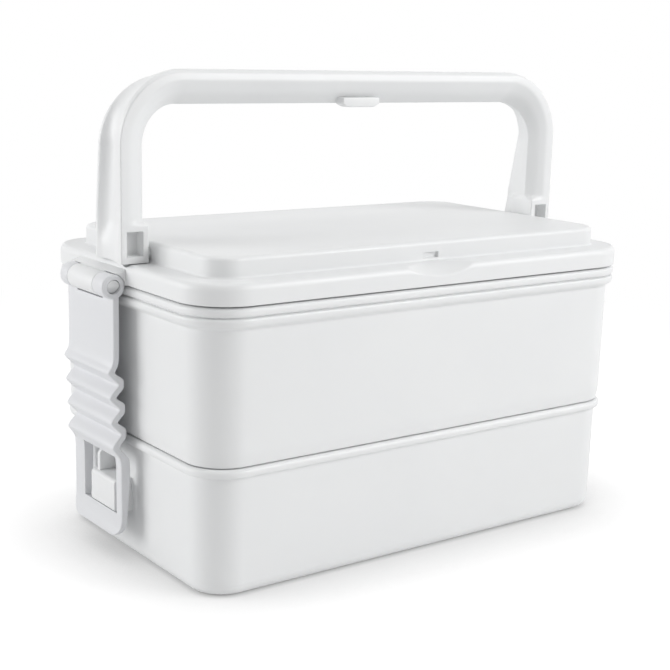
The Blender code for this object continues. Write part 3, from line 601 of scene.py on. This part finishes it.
# %% Turned and extruded helpers
PIN_SIDES = 48


def turned(name, axis, centre, stations):
    """Rings of a given radius (place along the axis, radius), round X or Y, closed at both ends."""
    place, radius = np.array(stations, float).T
    angle = np.linspace(0, 2 * np.pi, PIN_SIDES, endpoint=False)
    along = np.repeat(place[:, None], PIN_SIDES, axis=1)
    one = centre[0] + radius[:, None] * np.cos(angle)
    two = centre[1] + radius[:, None] * np.sin(angle)
    grid = np.stack([along, one, two] if axis == "X" else [one, along, two], axis=-1)
    return grid_piece(name, grid * MM)


def extruded(name, outline_points, low, high):
    """A flat outline (x, z) pushed along Y from one place to another."""
    flat = np.asarray(outline_points, float)
    x, z = np.tile(flat.T, (2, 1, 1)).swapaxes(0, 1)
    y = np.array([[low], [high]]) + np.zeros_like(x)
    return grid_piece(name, np.stack([x, y, z], axis=-1) * MM)


def block(name, low, high):
    """A plain box between two corners, used only for cutting."""
    corners = [(low[0], low[2]), (high[0], low[2]), (high[0], high[2]), (low[0], high[2])]
    return extruded(name, corners, low[1], high[1])


# %% [markdown]
# ## Bearings for the handle
# The handle turns on pins that reach into the dome's ends. Each end has a bore for the pin, and
# a round pocket in the flange that lets the foot swing.

# %% Cut the bearings and pockets
PIVOT = (-6.0, 112.9)
PIVOT_RADIUS = 2.0
HANDLE_OUTER = 102.7
HANDLE_LEG = 10.8
CLEARANCE = 0.3
PIN_CLEARANCE = 0.2
SWEEP_RADIUS = math.hypot(3.0, 3.0) + CLEARANCE
BORE_REACH = (86.7, 92.7)
POCKET_REACH = (91.6, 103.0)


def straight(name, axis, centre, low, high, radius):
    """A plain round bar between two places along its axis, used for pins and bores."""
    return turned(name, axis, centre, [(low, radius), (high, radius)])


for side in (-1, 1):
    low, high = sorted(side * place for place in BORE_REACH)
    carve(lid, straight("bore", "X", PIVOT, low, high, PIVOT_RADIUS + PIN_CLEARANCE))
    low, high = sorted(side * place for place in POCKET_REACH)
    carve(lid, straight("pocket", "X", PIVOT, low, high, SWEEP_RADIUS))
dress(lid, "cover", white_polypropylene, "white_plastic", "lid")

# %% [markdown]
# ## Barrels that carry the latches
# A shoulder grows out of the lid's skirt at each end, as wide as the latch. Its middle ends in a
# barrel, and above the ears it is hollowed so that they can turn. Stub pins stick out of both ends
# of the barrel, and the ears snap over them. The lower half of each stub's end slopes back so that
# the ear can ride over it.

# %% Make the barrels and stub pins
HINGE = (104.7, 101.95)
HINGE_RADIUS = 4.36
STUB_RADIUS = 2.4
LATCH_CENTRE = 11.1
LATCH_WIDTH = 36.2
EAR_WIDTH = 8.0
EAR_SHORT = 2.0
EAR_HOLLOW = 4.5
STUB_BEVEL = 0.25
LEAD_IN_STEP = 0.6
LEAD_IN_SLOPE = 0.35
SHOULDER_SLOPE = [(98.6, 108.3), (99.6, 107.9), (101.6, 107.1)]


def ear_ends(sign, reach):
    """Places along Y of the ears' two ends, from low to high; the one far from the front is short."""
    centre = -sign * LATCH_CENTRE
    return sorted((centre + sign * reach, centre - sign * (reach - EAR_SHORT)))


def hinge_arc(radius, start, end, count):
    """Points (x, z) on a circle round the hinge from one angle in degrees to another."""
    angle = np.radians(np.linspace(start, end, count))
    return np.column_stack([HINGE[0] + radius * np.cos(angle), HINGE[1] + radius * np.sin(angle)])


def bevelled(name, centre, low, high, radius, cut):
    """A round bar along Y whose two ends have a short bevel."""
    return turned(name, "Y", centre, [(low, radius - cut), (low + cut, radius),
                                      (high - cut, radius), (high, radius - cut)])


def barrel(name, sign):
    """Shoulder and barrel as one outline: a straight slope off the flange runs into a circle. The
    shoulder over the ears is the same slope, with a hollow round the hinge below it."""
    slope = np.vstack([[(98.6, 102.5)], SHOULDER_SLOPE])
    points = np.vstack([hinge_arc(HINGE_RADIUS, 100, -187, 40), slope]) * (sign, 1)
    centre = -sign * LATCH_CENTRE
    half = LATCH_WIDTH / 2 - EAR_WIDTH - CLEARANCE
    piece = extruded(name, points, centre - half, centre + half)
    crest = np.vstack([[(103.8, 106.55)], SHOULDER_SLOPE[::-1], [(98.6, 102.3)]])
    points = np.vstack([hinge_arc(EAR_HOLLOW, 180, 106, 16), crest]) * (sign, 1)
    reach = LATCH_WIDTH / 2 - CLEARANCE
    carve(piece, extruded("shoulder", points, centre - reach, centre + reach), "UNION")
    soften(piece, 0.18 * MM)
    low, high = ear_ends(sign, reach)
    stub = bevelled("stub", (sign * HINGE[0], HINGE[1]), low, high, STUB_RADIUS, STUB_BEVEL)
    for end, lean in ((low, -1), (high, 1)):
        across, down = np.array([(-3, 0.0), (-3, -3.0), (3, -3.0), (3, 0.0)]).T
        near = end + lean * (LEAD_IN_SLOPE * down - LEAD_IN_STEP)
        far = np.full(4, end + lean * 1.5)
        grid = [np.column_stack([sign * HINGE[0] + across, y, HINGE[1] + down]) for y in (near, far)]
        carve(stub, grid_piece("lead_in", np.stack(grid) * MM))
    carve(piece, stub, "UNION")
    return piece


for name, sign in (("left", -1), ("right", 1)):
    dress(barrel(name + "_barrel", sign), "cover", white_polypropylene, "white_plastic")

# %% [markdown]
# ## Catches on the lower box
# Each latch hooks under a raised pad on the lower tier. The pad has a bevelled top edge, an
# underside that slopes a little, and a thin rib that ties it to the rim above.

# %% Make the catches
FACE = HINGE[0] + 0.3
FRAME_FACE = FACE - 2.2
WALL_ROOT = 94.35
WINDOW_SLOPE = math.tan(math.radians(11))
WINDOW_TOP = 39.6
CATCH_LOW = 16.9
CATCH_TOP = 30.1
CATCH_SHIFT = -3.8
CATCH_HALF = 9.25
RIB_SHIFT = 1.9
RIB_HALF = 1.1
RIB_BURY = 1.4
RIB_FALL = 3.0
RIB_BACK = 1.3


def catch(name, sign):
    """The pad's side view pushed out to its width; its edges are rounded afterwards."""
    low = CATCH_LOW + WINDOW_SLOPE * (FRAME_FACE - WALL_ROOT)
    corners = [(WALL_ROOT, CATCH_LOW, 0), (FRAME_FACE, low, 0.3), (FRAME_FACE, CATCH_TOP, 1.6),
               (WALL_ROOT, CATCH_TOP, 0)]
    points = rounded(corners) * (sign, 1)
    centre = -sign * (LATCH_CENTRE + CATCH_SHIFT)
    piece = extruded(name, points, centre - CATCH_HALF, centre + CATCH_HALF)
    soften(piece, 0.9 * MM, 4)
    return piece


def rib(name, sign):
    """A thin fin from inside the pad's top up to the rim."""
    low, outer = CATCH_TOP - RIB_BURY, FRAME_FACE - RIB_BACK
    points = np.array([(WALL_ROOT, low), (outer, low), (outer, WINDOW_TOP - RIB_FALL),
                       (LID_HALF_LENGTH - 4.3, BEAD_LOW), (WALL_ROOT, BEAD_LOW)])
    centre = -sign * (LATCH_CENTRE + RIB_SHIFT)
    piece = extruded(name, points * (sign, 1), centre - RIB_HALF, centre + RIB_HALF)
    soften(piece, 0.4 * MM)
    return piece


for name, sign in (("left", -1), ("right", 1)):
    dress(catch(name + "_catch", sign), "base", white_polypropylene, "white_plastic")
    dress(rib(name + "_catch_rib", sign), "base", white_polypropylene, "white_plastic")

# %% [markdown]
# ## Latches
# A latch is one strip: a flat plate below its two ears, four ridges like a washboard that give the
# thumb a grip and let the strip flex, and a frame with a window that hooks under the catch. Its
# side view is drawn as two lines, with sharp creases in the outer face and round bulges behind
# them. Cutting the corners of both again and again gives the soft waves, and a rounded rectangle is
# carried down between them.

# %% Draw the latch's side view
RIDGES = 4
RIDGE_FIRST = HINGE[1] - 30.75
RIDGE_PITCH = 9.1
RIDGE_LEAN = 0.4
RIDGE_PROUD = 2.6
CREASE_BACK = 0.25
VALLEY_DROP = 4.5
VALLEY_FLAT = 0.8
VALLEY_DEEP = 1.7
BULGE_START, BULGE_END = 2.4, 6.0
BULGE_BACK = 4.1
PLATE_STOP = 3.1
FRAME_BOTTOM = 10.0
FRAME_CORNER = 5.5
FRAME_WIDER = 0.8
FRAME_FLARE = 1.6
SHEET = 2.4
FRAME_THICK = 3.6

outer_corners = [(FACE, HINGE[1] - HINGE_RADIUS / 2), (FACE, RIDGE_FIRST + PLATE_STOP)]
inner_corners = [(x - SHEET, z) for x, z in outer_corners]
for number in range(RIDGES):
    height, level = RIDGE_FIRST - number * RIDGE_PITCH, FACE - number * RIDGE_LEAN
    outer_corners.append((level + RIDGE_PROUD, height))
    inner_corners.append((level - CREASE_BACK, height))
    if number < RIDGES - 1:
        outer_corners += [(level - VALLEY_DEEP, height - VALLEY_DROP + step)
                          for step in (VALLEY_FLAT / 2, -VALLEY_FLAT / 2)]
        inner_corners += [(level - BULGE_BACK, height - drop) for drop in (BULGE_START, BULGE_END)]
last_ridge = RIDGE_FIRST - (RIDGES - 1) * RIDGE_PITCH
for x, z, thick in ((FRAME_FACE, last_ridge - VALLEY_DROP, FRAME_THICK),
                    (FRAME_FACE, CATCH_TOP, FRAME_THICK), (FRAME_FACE, CATCH_LOW, SHEET),
                    (FRAME_FACE + FRAME_FLARE / 4, (CATCH_LOW + FRAME_BOTTOM) / 2, SHEET),
                    (FRAME_FACE + FRAME_FLARE, FRAME_BOTTOM, SHEET)):
    outer_corners.append((x, z))
    inner_corners.append((x - thick, z))


def corner_cut(line, shares=(0.15, 0.25, 0.25)):
    """Replace each corner by points a share along its two stretches, again and again."""
    for share in shares:
        near = (1 - share) * line[:-1] + share * line[1:]
        far = share * line[:-1] + (1 - share) * line[1:]
        line = np.vstack([line[:1], np.stack([near, far], axis=1).reshape(-1, 2), line[-1:]])
    return line


def dense_foot(line):
    """Add points to the last stretch, closer and closer to its end, for the round of the foot."""
    share = 1 - (np.arange(1, 12) / 12)[:, None] ** 2
    return np.vstack([line[:-1], line[-1] + share * (line[-2] - line[-1]), line[-1:]])


outer_line = dense_foot(corner_cut(np.array(outer_corners)))
inner_line = dense_foot(corner_cut(np.array(inner_corners)))
print("latch stations:", len(outer_line))

# %% Sweep, cut and soften the latches
STRIP_ROUND = 0.6
LEAST_THICK = 1.3
EAR_BEVEL = 0.5
BAY_REACH = 13.0
WINDOW_HALF = 12.8
WINDOW_SHIFT = -2.0
HALF = 0.5


def latch_half_width(height):
    """Half the width: the plate, a slightly wider frame below it, and a quarter circle at the foot."""
    blend = np.clip((last_ridge + VALLEY_DROP - height) / (2 * VALLEY_DROP), 0, 1)
    rise = np.clip(height - FRAME_BOTTOM, 0, FRAME_CORNER)
    foot = FRAME_CORNER - np.sqrt(FRAME_CORNER ** 2 - (FRAME_CORNER - rise) ** 2)
    return LATCH_WIDTH / 2 + blend * FRAME_WIDER - foot


def latch(name, sign):
    """Carry a rectangle with rounded edges down the side view, then cut the bay between the ears,
    the bores and the window."""
    centre = -sign * LATCH_CENTRE
    half = latch_half_width((outer_line[:, 1] + inner_line[:, 1]) / 2)
    corners = [(-1, 0, HALF), (1, 0, HALF), (1, 1, HALF), (-1, 1, HALF)]
    side, share = rounded(corners, closed=True, steps=4).T
    across = np.sign(side) * (half[:, None] - STRIP_ROUND * (1 - np.abs(side)) / HALF)
    thick = np.linalg.norm(outer_line - inner_line, axis=1)
    near = STRIP_ROUND / np.clip(thick, LEAST_THICK, None)[:, None]
    share = np.where(share < HALF, share / HALF * near, 1 - (1 - share) / HALF * near)
    x = outer_line[:, :1] + share * (inner_line[:, :1] - outer_line[:, :1])
    z = outer_line[:, 1:] + share * (inner_line[:, 1:] - outer_line[:, 1:])
    piece = grid_piece(name, np.stack([sign * x, centre + across, z], axis=-1) * MM)
    hinge = (sign * HINGE[0], HINGE[1])
    wide = LATCH_WIDTH / 2
    carve(piece, bevelled("ears", hinge, *ear_ends(sign, wide), HINGE_RADIUS, EAR_BEVEL), "UNION")
    bay = wide - EAR_WIDTH
    carve(piece, block("bay", (hinge[0] - BAY_REACH, centre - bay, HINGE[1] - HINGE_RADIUS - 0.8),
                       (hinge[0] + BAY_REACH, centre + bay, HINGE[1] + BAY_REACH)))
    carve(piece, straight("bores", "Y", hinge, centre - 30, centre + 30, STUB_RADIUS + PIN_CLEARANCE))
    near_x, far_x = WALL_ROOT - FRAME_THICK, FRAME_FACE + 10.8
    low = CATCH_LOW - CLEARANCE - WINDOW_SLOPE * (WALL_ROOT - near_x)
    corners = [(near_x, low), (far_x, low + WINDOW_SLOPE * (far_x - near_x)),
               (far_x, WINDOW_TOP), (near_x, WINDOW_TOP)]
    middle = -sign * (LATCH_CENTRE + WINDOW_SHIFT)
    corners = np.array(corners) * (sign, 1)
    carve(piece, extruded("window", corners, middle - WINDOW_HALF, middle + WINDOW_HALF))
    soften(piece, 0.4 * MM)
    return piece


for name, sign in (("left", -1), ("right", 1)):
    dress(latch(name + "_washboard_latch", sign), "latch_" + name, latch_polypropylene, "white_plastic",
          name + "_latch")

# %% [markdown]
# ## Carrying handle
# The handle is a U whose section changes on the way: a block at the foot, a leg with a flat rim in
# front, a scoop inside and a valley outside in front of a rounded roll, and a fuller grip. Four
# sections with the same number of corners are drawn, and each station on the path takes a mix of
# its two neighbours.

# %% Draw the handle's sections
HANDLE_GRIP = 12.3
HANDLE_TOP = 176.3
HANDLE_FRONT = -9.0
HANDLE_CORNER = 26.0
FOOT_BACK, LOW_LEG_BACK, LEG_BACK, GRIP_BACK = 14.0, 13.7, 10.1, 9.0
SECTION_STEPS = 6


def handle_section(width, back, corners):
    """Section points from shares of the width and of the depth from front to back, with a rounding."""
    spots = np.array(corners, float)
    spots[:, 0] *= width
    spots[:, 1] = HANDLE_FRONT + spots[:, 1] * (back - HANDLE_FRONT)
    return rounded(spots, closed=True, steps=SECTION_STEPS)


FOOT_CORNERS = [(1, 0, 0.5), (1, 0.1, 0.4), (0.97, 0.12, 0.4), (0.84, 0.35, 2), (0.8, 0.55, 2),
                (0.84, 0.75, 2), (0.97, 0.9, 1.2), (0.77, 1, 1.2), (0.5, 0.97, 1.5), (0.25, 0.8, 2),
                (0, 0.55, 1.5), (0, 0.2, 2), (0, 0, 0.5), (0.63, 0, 1.5)]
LOW_LEG_CORNERS = [(1, 0, 0.5), (1, 0.1, 0.4), (0.86, 0.12, 0.5), (0.67, 0.35, 2), (0.61, 0.55, 2.5),
                   (0.69, 0.75, 2.5), (0.97, 0.9, 1.3), (0.77, 1, 1.2), (0.57, 0.95, 1.5),
                   (0.3, 0.73, 2), (0.09, 0.44, 1.5), (0, 0.2, 0.6), (0.3, 0.07, 1.2),
                   (0.63, 0.005, 1)]
LEG_CORNERS = [(1, 0, 0.5), (1, 0.115, 0.4), (0.86, 0.136, 0.5), (0.65, 0.34, 2), (0.59, 0.55, 2.5),
               (0.67, 0.76, 2.5), (0.98, 0.9, 1.2), (0.86, 1, 0.8), (0.7, 0.95, 1.2), (0.43, 0.68, 2),
               (0.17, 0.42, 1.5), (0, 0.24, 0.6), (0.3, 0.085, 1.2), (0.63, 0.005, 1)]
GRIP_CORNERS = [(0.9, 0.03, 0.6), (0.98, 0.13, 0.8), (1, 0.28, 1), (0.98, 0.45, 1.5),
                (0.94, 0.62, 1.5), (0.87, 0.78, 1.5), (0.74, 0.94, 1.2), (0.58, 1, 1.2),
                (0.35, 0.98, 1.5), (0.12, 0.88, 1.2), (0, 0.72, 1.2), (0, 0.42, 0.6),
                (0.3, 0.17, 2), (0.68, 0, 0.6)]
OUTER_CORNERS = 10
foot_section = handle_section(HANDLE_LEG, FOOT_BACK, FOOT_CORNERS)
low_leg_section = handle_section(HANDLE_LEG, LOW_LEG_BACK, LOW_LEG_CORNERS)
leg_section = handle_section(HANDLE_LEG, LEG_BACK, LEG_CORNERS)
leg_wide = handle_section(HANDLE_GRIP, LEG_BACK, LEG_CORNERS)
grip_section = handle_section(HANDLE_GRIP, GRIP_BACK, GRIP_CORNERS)
print("points in a section:", len(foot_section))

# %% Sweep the handle
FOOT_LOW = LID_TOP + CLEARANCE
VALLEY_START, VALLEY_END = 114.0, 124.0
BLOCK_TOP, BLOCK_END = 122.6, 125.2
CORNER_START = HANDLE_TOP - HANDLE_CORNER


def eased(height, start, end):
    """A share that rises smoothly from 0 at one height to 1 at another."""
    share = np.clip((height - start) / (end - start), 0, 1)
    return (share * share * (3 - 2 * share))[:, None, None]


def handle_stations():
    """Half of the path from a foot to the grip's middle: outer point, turn and height."""
    height = np.concatenate([[FOOT_LOW, FOOT_LOW + 0.6, 112.5],
                             np.linspace(VALLEY_START, BLOCK_TOP, 14),
                             np.linspace(BLOCK_TOP, BLOCK_END, 12)[1:],
                             np.linspace(BLOCK_END, CORNER_START, 9)[1:]])
    turn = np.linspace(0, 1, 33)[1:] * np.pi / 2
    out = np.concatenate([np.full(len(height), HANDLE_OUTER),
                          HANDLE_OUTER - HANDLE_CORNER + HANDLE_CORNER * np.cos(turn)])
    angle = np.concatenate([np.zeros(len(height)), turn])
    return np.concatenate([height, CORNER_START + HANDLE_CORNER * np.sin(turn)]), out, angle


def sweep_handle():
    """Mix the section of each station from those of foot, leg and grip, and place it so that its
    outer edge lies on the path's outer line. The valley outside fades in slowly, and the block that
    fills the front of the foot ends with a short rounded step."""
    height, out, angle = handle_stations()
    outer = np.arange(len(foot_section)) < OUTER_CORNERS * (SECTION_STEPS + 1)
    to_leg = np.where(outer[:, None], eased(height, VALLEY_START, VALLEY_END),
                      eased(height, BLOCK_TOP, BLOCK_END))
    up_leg = np.clip((height - BLOCK_END) / (CORNER_START - BLOCK_END), 0, 1)[:, None, None]
    to_grip = (angle / (np.pi / 2))[:, None, None]
    sections = foot_section + to_leg * (low_leg_section - foot_section)
    sections = sections + up_leg * (leg_section + to_grip * (leg_wide - leg_section) - sections)
    sections = sections + to_grip * (grip_section - sections)
    inward = sections[..., 0].max(axis=1, keepdims=True) - sections[..., 0]
    x = out[:, None] - inward * np.cos(angle)[:, None]
    z = height[:, None] - inward * np.sin(angle)[:, None]
    half = np.stack([x, sections[..., 1], z], axis=-1)
    other = half[::-1] * (-1, 1, 1)
    return grid_piece("carrying_grip", np.concatenate([half, other]) * MM)


handle = sweep_handle()
print("handle sweep:", len(handle.data.polygons), "faces")

# %% [markdown]
# ## Details of the handle
# Each foot has a small open pocket in front, which keeps the moulding's wall even, and a pin on its
# inner side. A low nub under the middle of the grip rests a finger and marks the gate side.

# %% Cut the foot pockets and add pins and nub
FOOT_MIDDLE = HANDLE_OUTER - HANDLE_LEG / 2
POCKET_HALF = 3.2
POCKET_DEPTH = 5.0
POCKET_LOW, POCKET_HIGH = LID_TOP + 2.6, LID_TOP + 11.4
PIN_REACH = (89.0, 93.9)
NUB_HALF = 8.7
NUB_SLOPE = 2.4
NUB_DROP = 1.2
NUB_FRONT, NUB_BACK = HANDLE_FRONT + 1.0, HANDLE_FRONT + 6.0

for side in (-1, 1):
    middle = side * FOOT_MIDDLE
    carve(handle, block("pocket", (middle - POCKET_HALF, HANDLE_FRONT - POCKET_DEPTH, POCKET_LOW),
                        (middle + POCKET_HALF, HANDLE_FRONT + POCKET_DEPTH, POCKET_HIGH)))
    low, high = sorted(side * place for place in PIN_REACH)
    carve(handle, straight("pin", "X", PIVOT, low, high, PIVOT_RADIUS), "UNION")
soften(handle, 0.35 * MM)

UNDERSIDE = HANDLE_TOP - HANDLE_GRIP
nub_half = [(NUB_HALF - NUB_SLOPE, UNDERSIDE - NUB_DROP, 1.0), (NUB_HALF, UNDERSIDE, 0.4),
            (NUB_HALF, UNDERSIDE + 2.4, 0)]
nub_corners = [(-x, z, cut) for x, z, cut in nub_half[::-1]] + nub_half
nub = extruded("grip_nub", rounded(nub_corners), NUB_FRONT, NUB_BACK)
soften(nub, 0.5 * MM, 4)
dress(handle, "carrying_handle", white_polypropylene, "white_plastic", "handle")
dress(nub, "carrying_handle", white_polypropylene, "white_plastic")

# %% [markdown]
# ## Floor, sky and lamps
# The photograph has a white ground with only a soft shadow round the foot of the box. The floor is a
# wide pale card that keeps the shadow near the object, darkened further by a painted shade from
# ambient occlusion where the box closes it in, and turns to plain white further out, where the white
# sky takes over. The light comes from one wide lamp above, one at the left and one in front at the
# right, so that the corner towards the camera is a little darker than both sides.

# %% Make the floor and the sky
FLOOR_NEAR = 220 * MM
FLOOR_FAR = 520 * MM
CARD_WHITE = 0.92
CARD_FADE = 0.6
FLOOR_LIFT = 0.81
# Reach and least share of the painted contact shade that ambient occlusion lays on the floor's glow
CONTACT_REACH = 40 * MM
CONTACT_SHADE = 0.25
FLOOR_HALF = 4.0
FLOOR_DROP = 0.1 * MM
PURE_WHITE = (1.0, 1.0, 1.0, 1.0)

floor_mesh = bpy.data.meshes.new("floor")
floor_mesh.from_pydata([(FLOOR_HALF * x, FLOOR_HALF * y, -FLOOR_DROP)
                        for x, y in ((-1, -1), (1, -1), (1, 1), (-1, 1))], [], [(0, 1, 2, 3)])
floor = bpy.data.objects.new("floor", floor_mesh)
bpy.context.collection.objects.link(floor)

material, tree = start_material("pale_floor_card")
seen = add(tree, "ShaderNodeLightPath").outputs["Is Camera Ray"]
place = add(tree, "ShaderNodeTexCoord").outputs["Object"]
away = add(tree, "ShaderNodeVectorMath", {0: place}, operation="LENGTH").outputs["Value"]
far = add(tree, "ShaderNodeMapRange", {"Value": away, "From Min": FLOOR_NEAR, "From Max": FLOOR_FAR},
          interpolation_type="SMOOTHSTEP")
blend = add(tree, "ShaderNodeMath", {0: seen, 1: far.outputs["Result"]}, operation="MULTIPLY")
# Painted contact shade: ambient occlusion dims the floor's added glow near the box, most where the box
# closes it in
painted_contact_shade = add(tree, "ShaderNodeAmbientOcclusion", {"Distance": CONTACT_REACH}, samples=8)
shade = add(tree, "ShaderNodeMath", {0: seen, 1: -CARD_FADE, 2: CARD_WHITE}, operation="MULTIPLY_ADD")
card = add(tree, "ShaderNodeBsdfDiffuse", {"Color": shade.outputs[0]})
lift = add(tree, "ShaderNodeMath", {0: seen, 1: FLOOR_LIFT}, operation="MULTIPLY")
shaded = add(tree, "ShaderNodeMapRange", {"Value": painted_contact_shade.outputs["AO"], "To Min": CONTACT_SHADE})
lift = add(tree, "ShaderNodeMath", {0: lift.outputs[0], 1: shaded.outputs["Result"]}, operation="MULTIPLY")
raised = add(tree, "ShaderNodeEmission", {"Color": PURE_WHITE, "Strength": lift.outputs[0]})
near = add(tree, "ShaderNodeAddShader", {0: card.outputs[0], 1: raised.outputs[0]})
glow = add(tree, "ShaderNodeEmission", {"Color": PURE_WHITE, "Strength": 1.0})
mixed = add(tree, "ShaderNodeMixShader", {0: blend.outputs[0], 1: near.outputs[0], 2: glow.outputs[0]})
add(tree, "ShaderNodeOutputMaterial", {"Surface": mixed.outputs[0]})
floor_mesh.materials.append(material)

SKY_LIGHT = 0.32
world = bpy.data.worlds.new("white_room")
bpy.context.scene.world = world
world.use_nodes = True
tree = world.node_tree
tree.nodes.clear()
path = add(tree, "ShaderNodeLightPath")
shown = add(tree, "ShaderNodeMath", {0: path.outputs["Is Camera Ray"], 1: path.outputs["Is Glossy Ray"]},
            operation="MAXIMUM")
shown = add(tree, "ShaderNodeMath", {0: shown.outputs[0], 1: path.outputs["Is Transmission Ray"]},
            operation="MAXIMUM")
room = add(tree, "ShaderNodeBackground", {"Color": PURE_WHITE, "Strength": SKY_LIGHT})
white = add(tree, "ShaderNodeBackground", {"Color": PURE_WHITE, "Strength": 1.0})
mixed = add(tree, "ShaderNodeMixShader", {0: shown.outputs[0], 1: room.outputs[0], 2: white.outputs[0]})
add(tree, "ShaderNodeOutputWorld", {"Surface": mixed.outputs[0]})
print("floor and sky made")


# %% Hang the lamps
def lamp(name, place, target, size, power):
    """A square soft lamp at a place, turned to face a target."""
    data = bpy.data.lights.new(name, "AREA")
    data.shape = "SQUARE"
    data.size = size
    data.energy = power
    item = bpy.data.objects.new(name, data)
    bpy.context.collection.objects.link(item)
    away = np.array(place) - np.array(target)
    away = away / np.linalg.norm(away)
    side = np.cross((0.0, 1.0, 0.1), away)
    side /= np.linalg.norm(side)
    axes = np.eye(4)
    axes[:3, 0], axes[:3, 1], axes[:3, 2], axes[:3, 3] = side, np.cross(away, side), away, place
    item.matrix_world = Matrix(axes.tolist())
    return item


MIDDLE = (0.0, 0.0, 0.08)
lamp("lamp_above", (0.0, 0.1, 1.5), MIDDLE, 1.4, 5.8)
lamp("lamp_left", (-1.4, 0.8, 0.5), MIDDLE, 1.0, 14.2)
lamp("lamp_front_right", (0.8, -1.05, 0.75), MIDDLE, 0.8, 12.3)
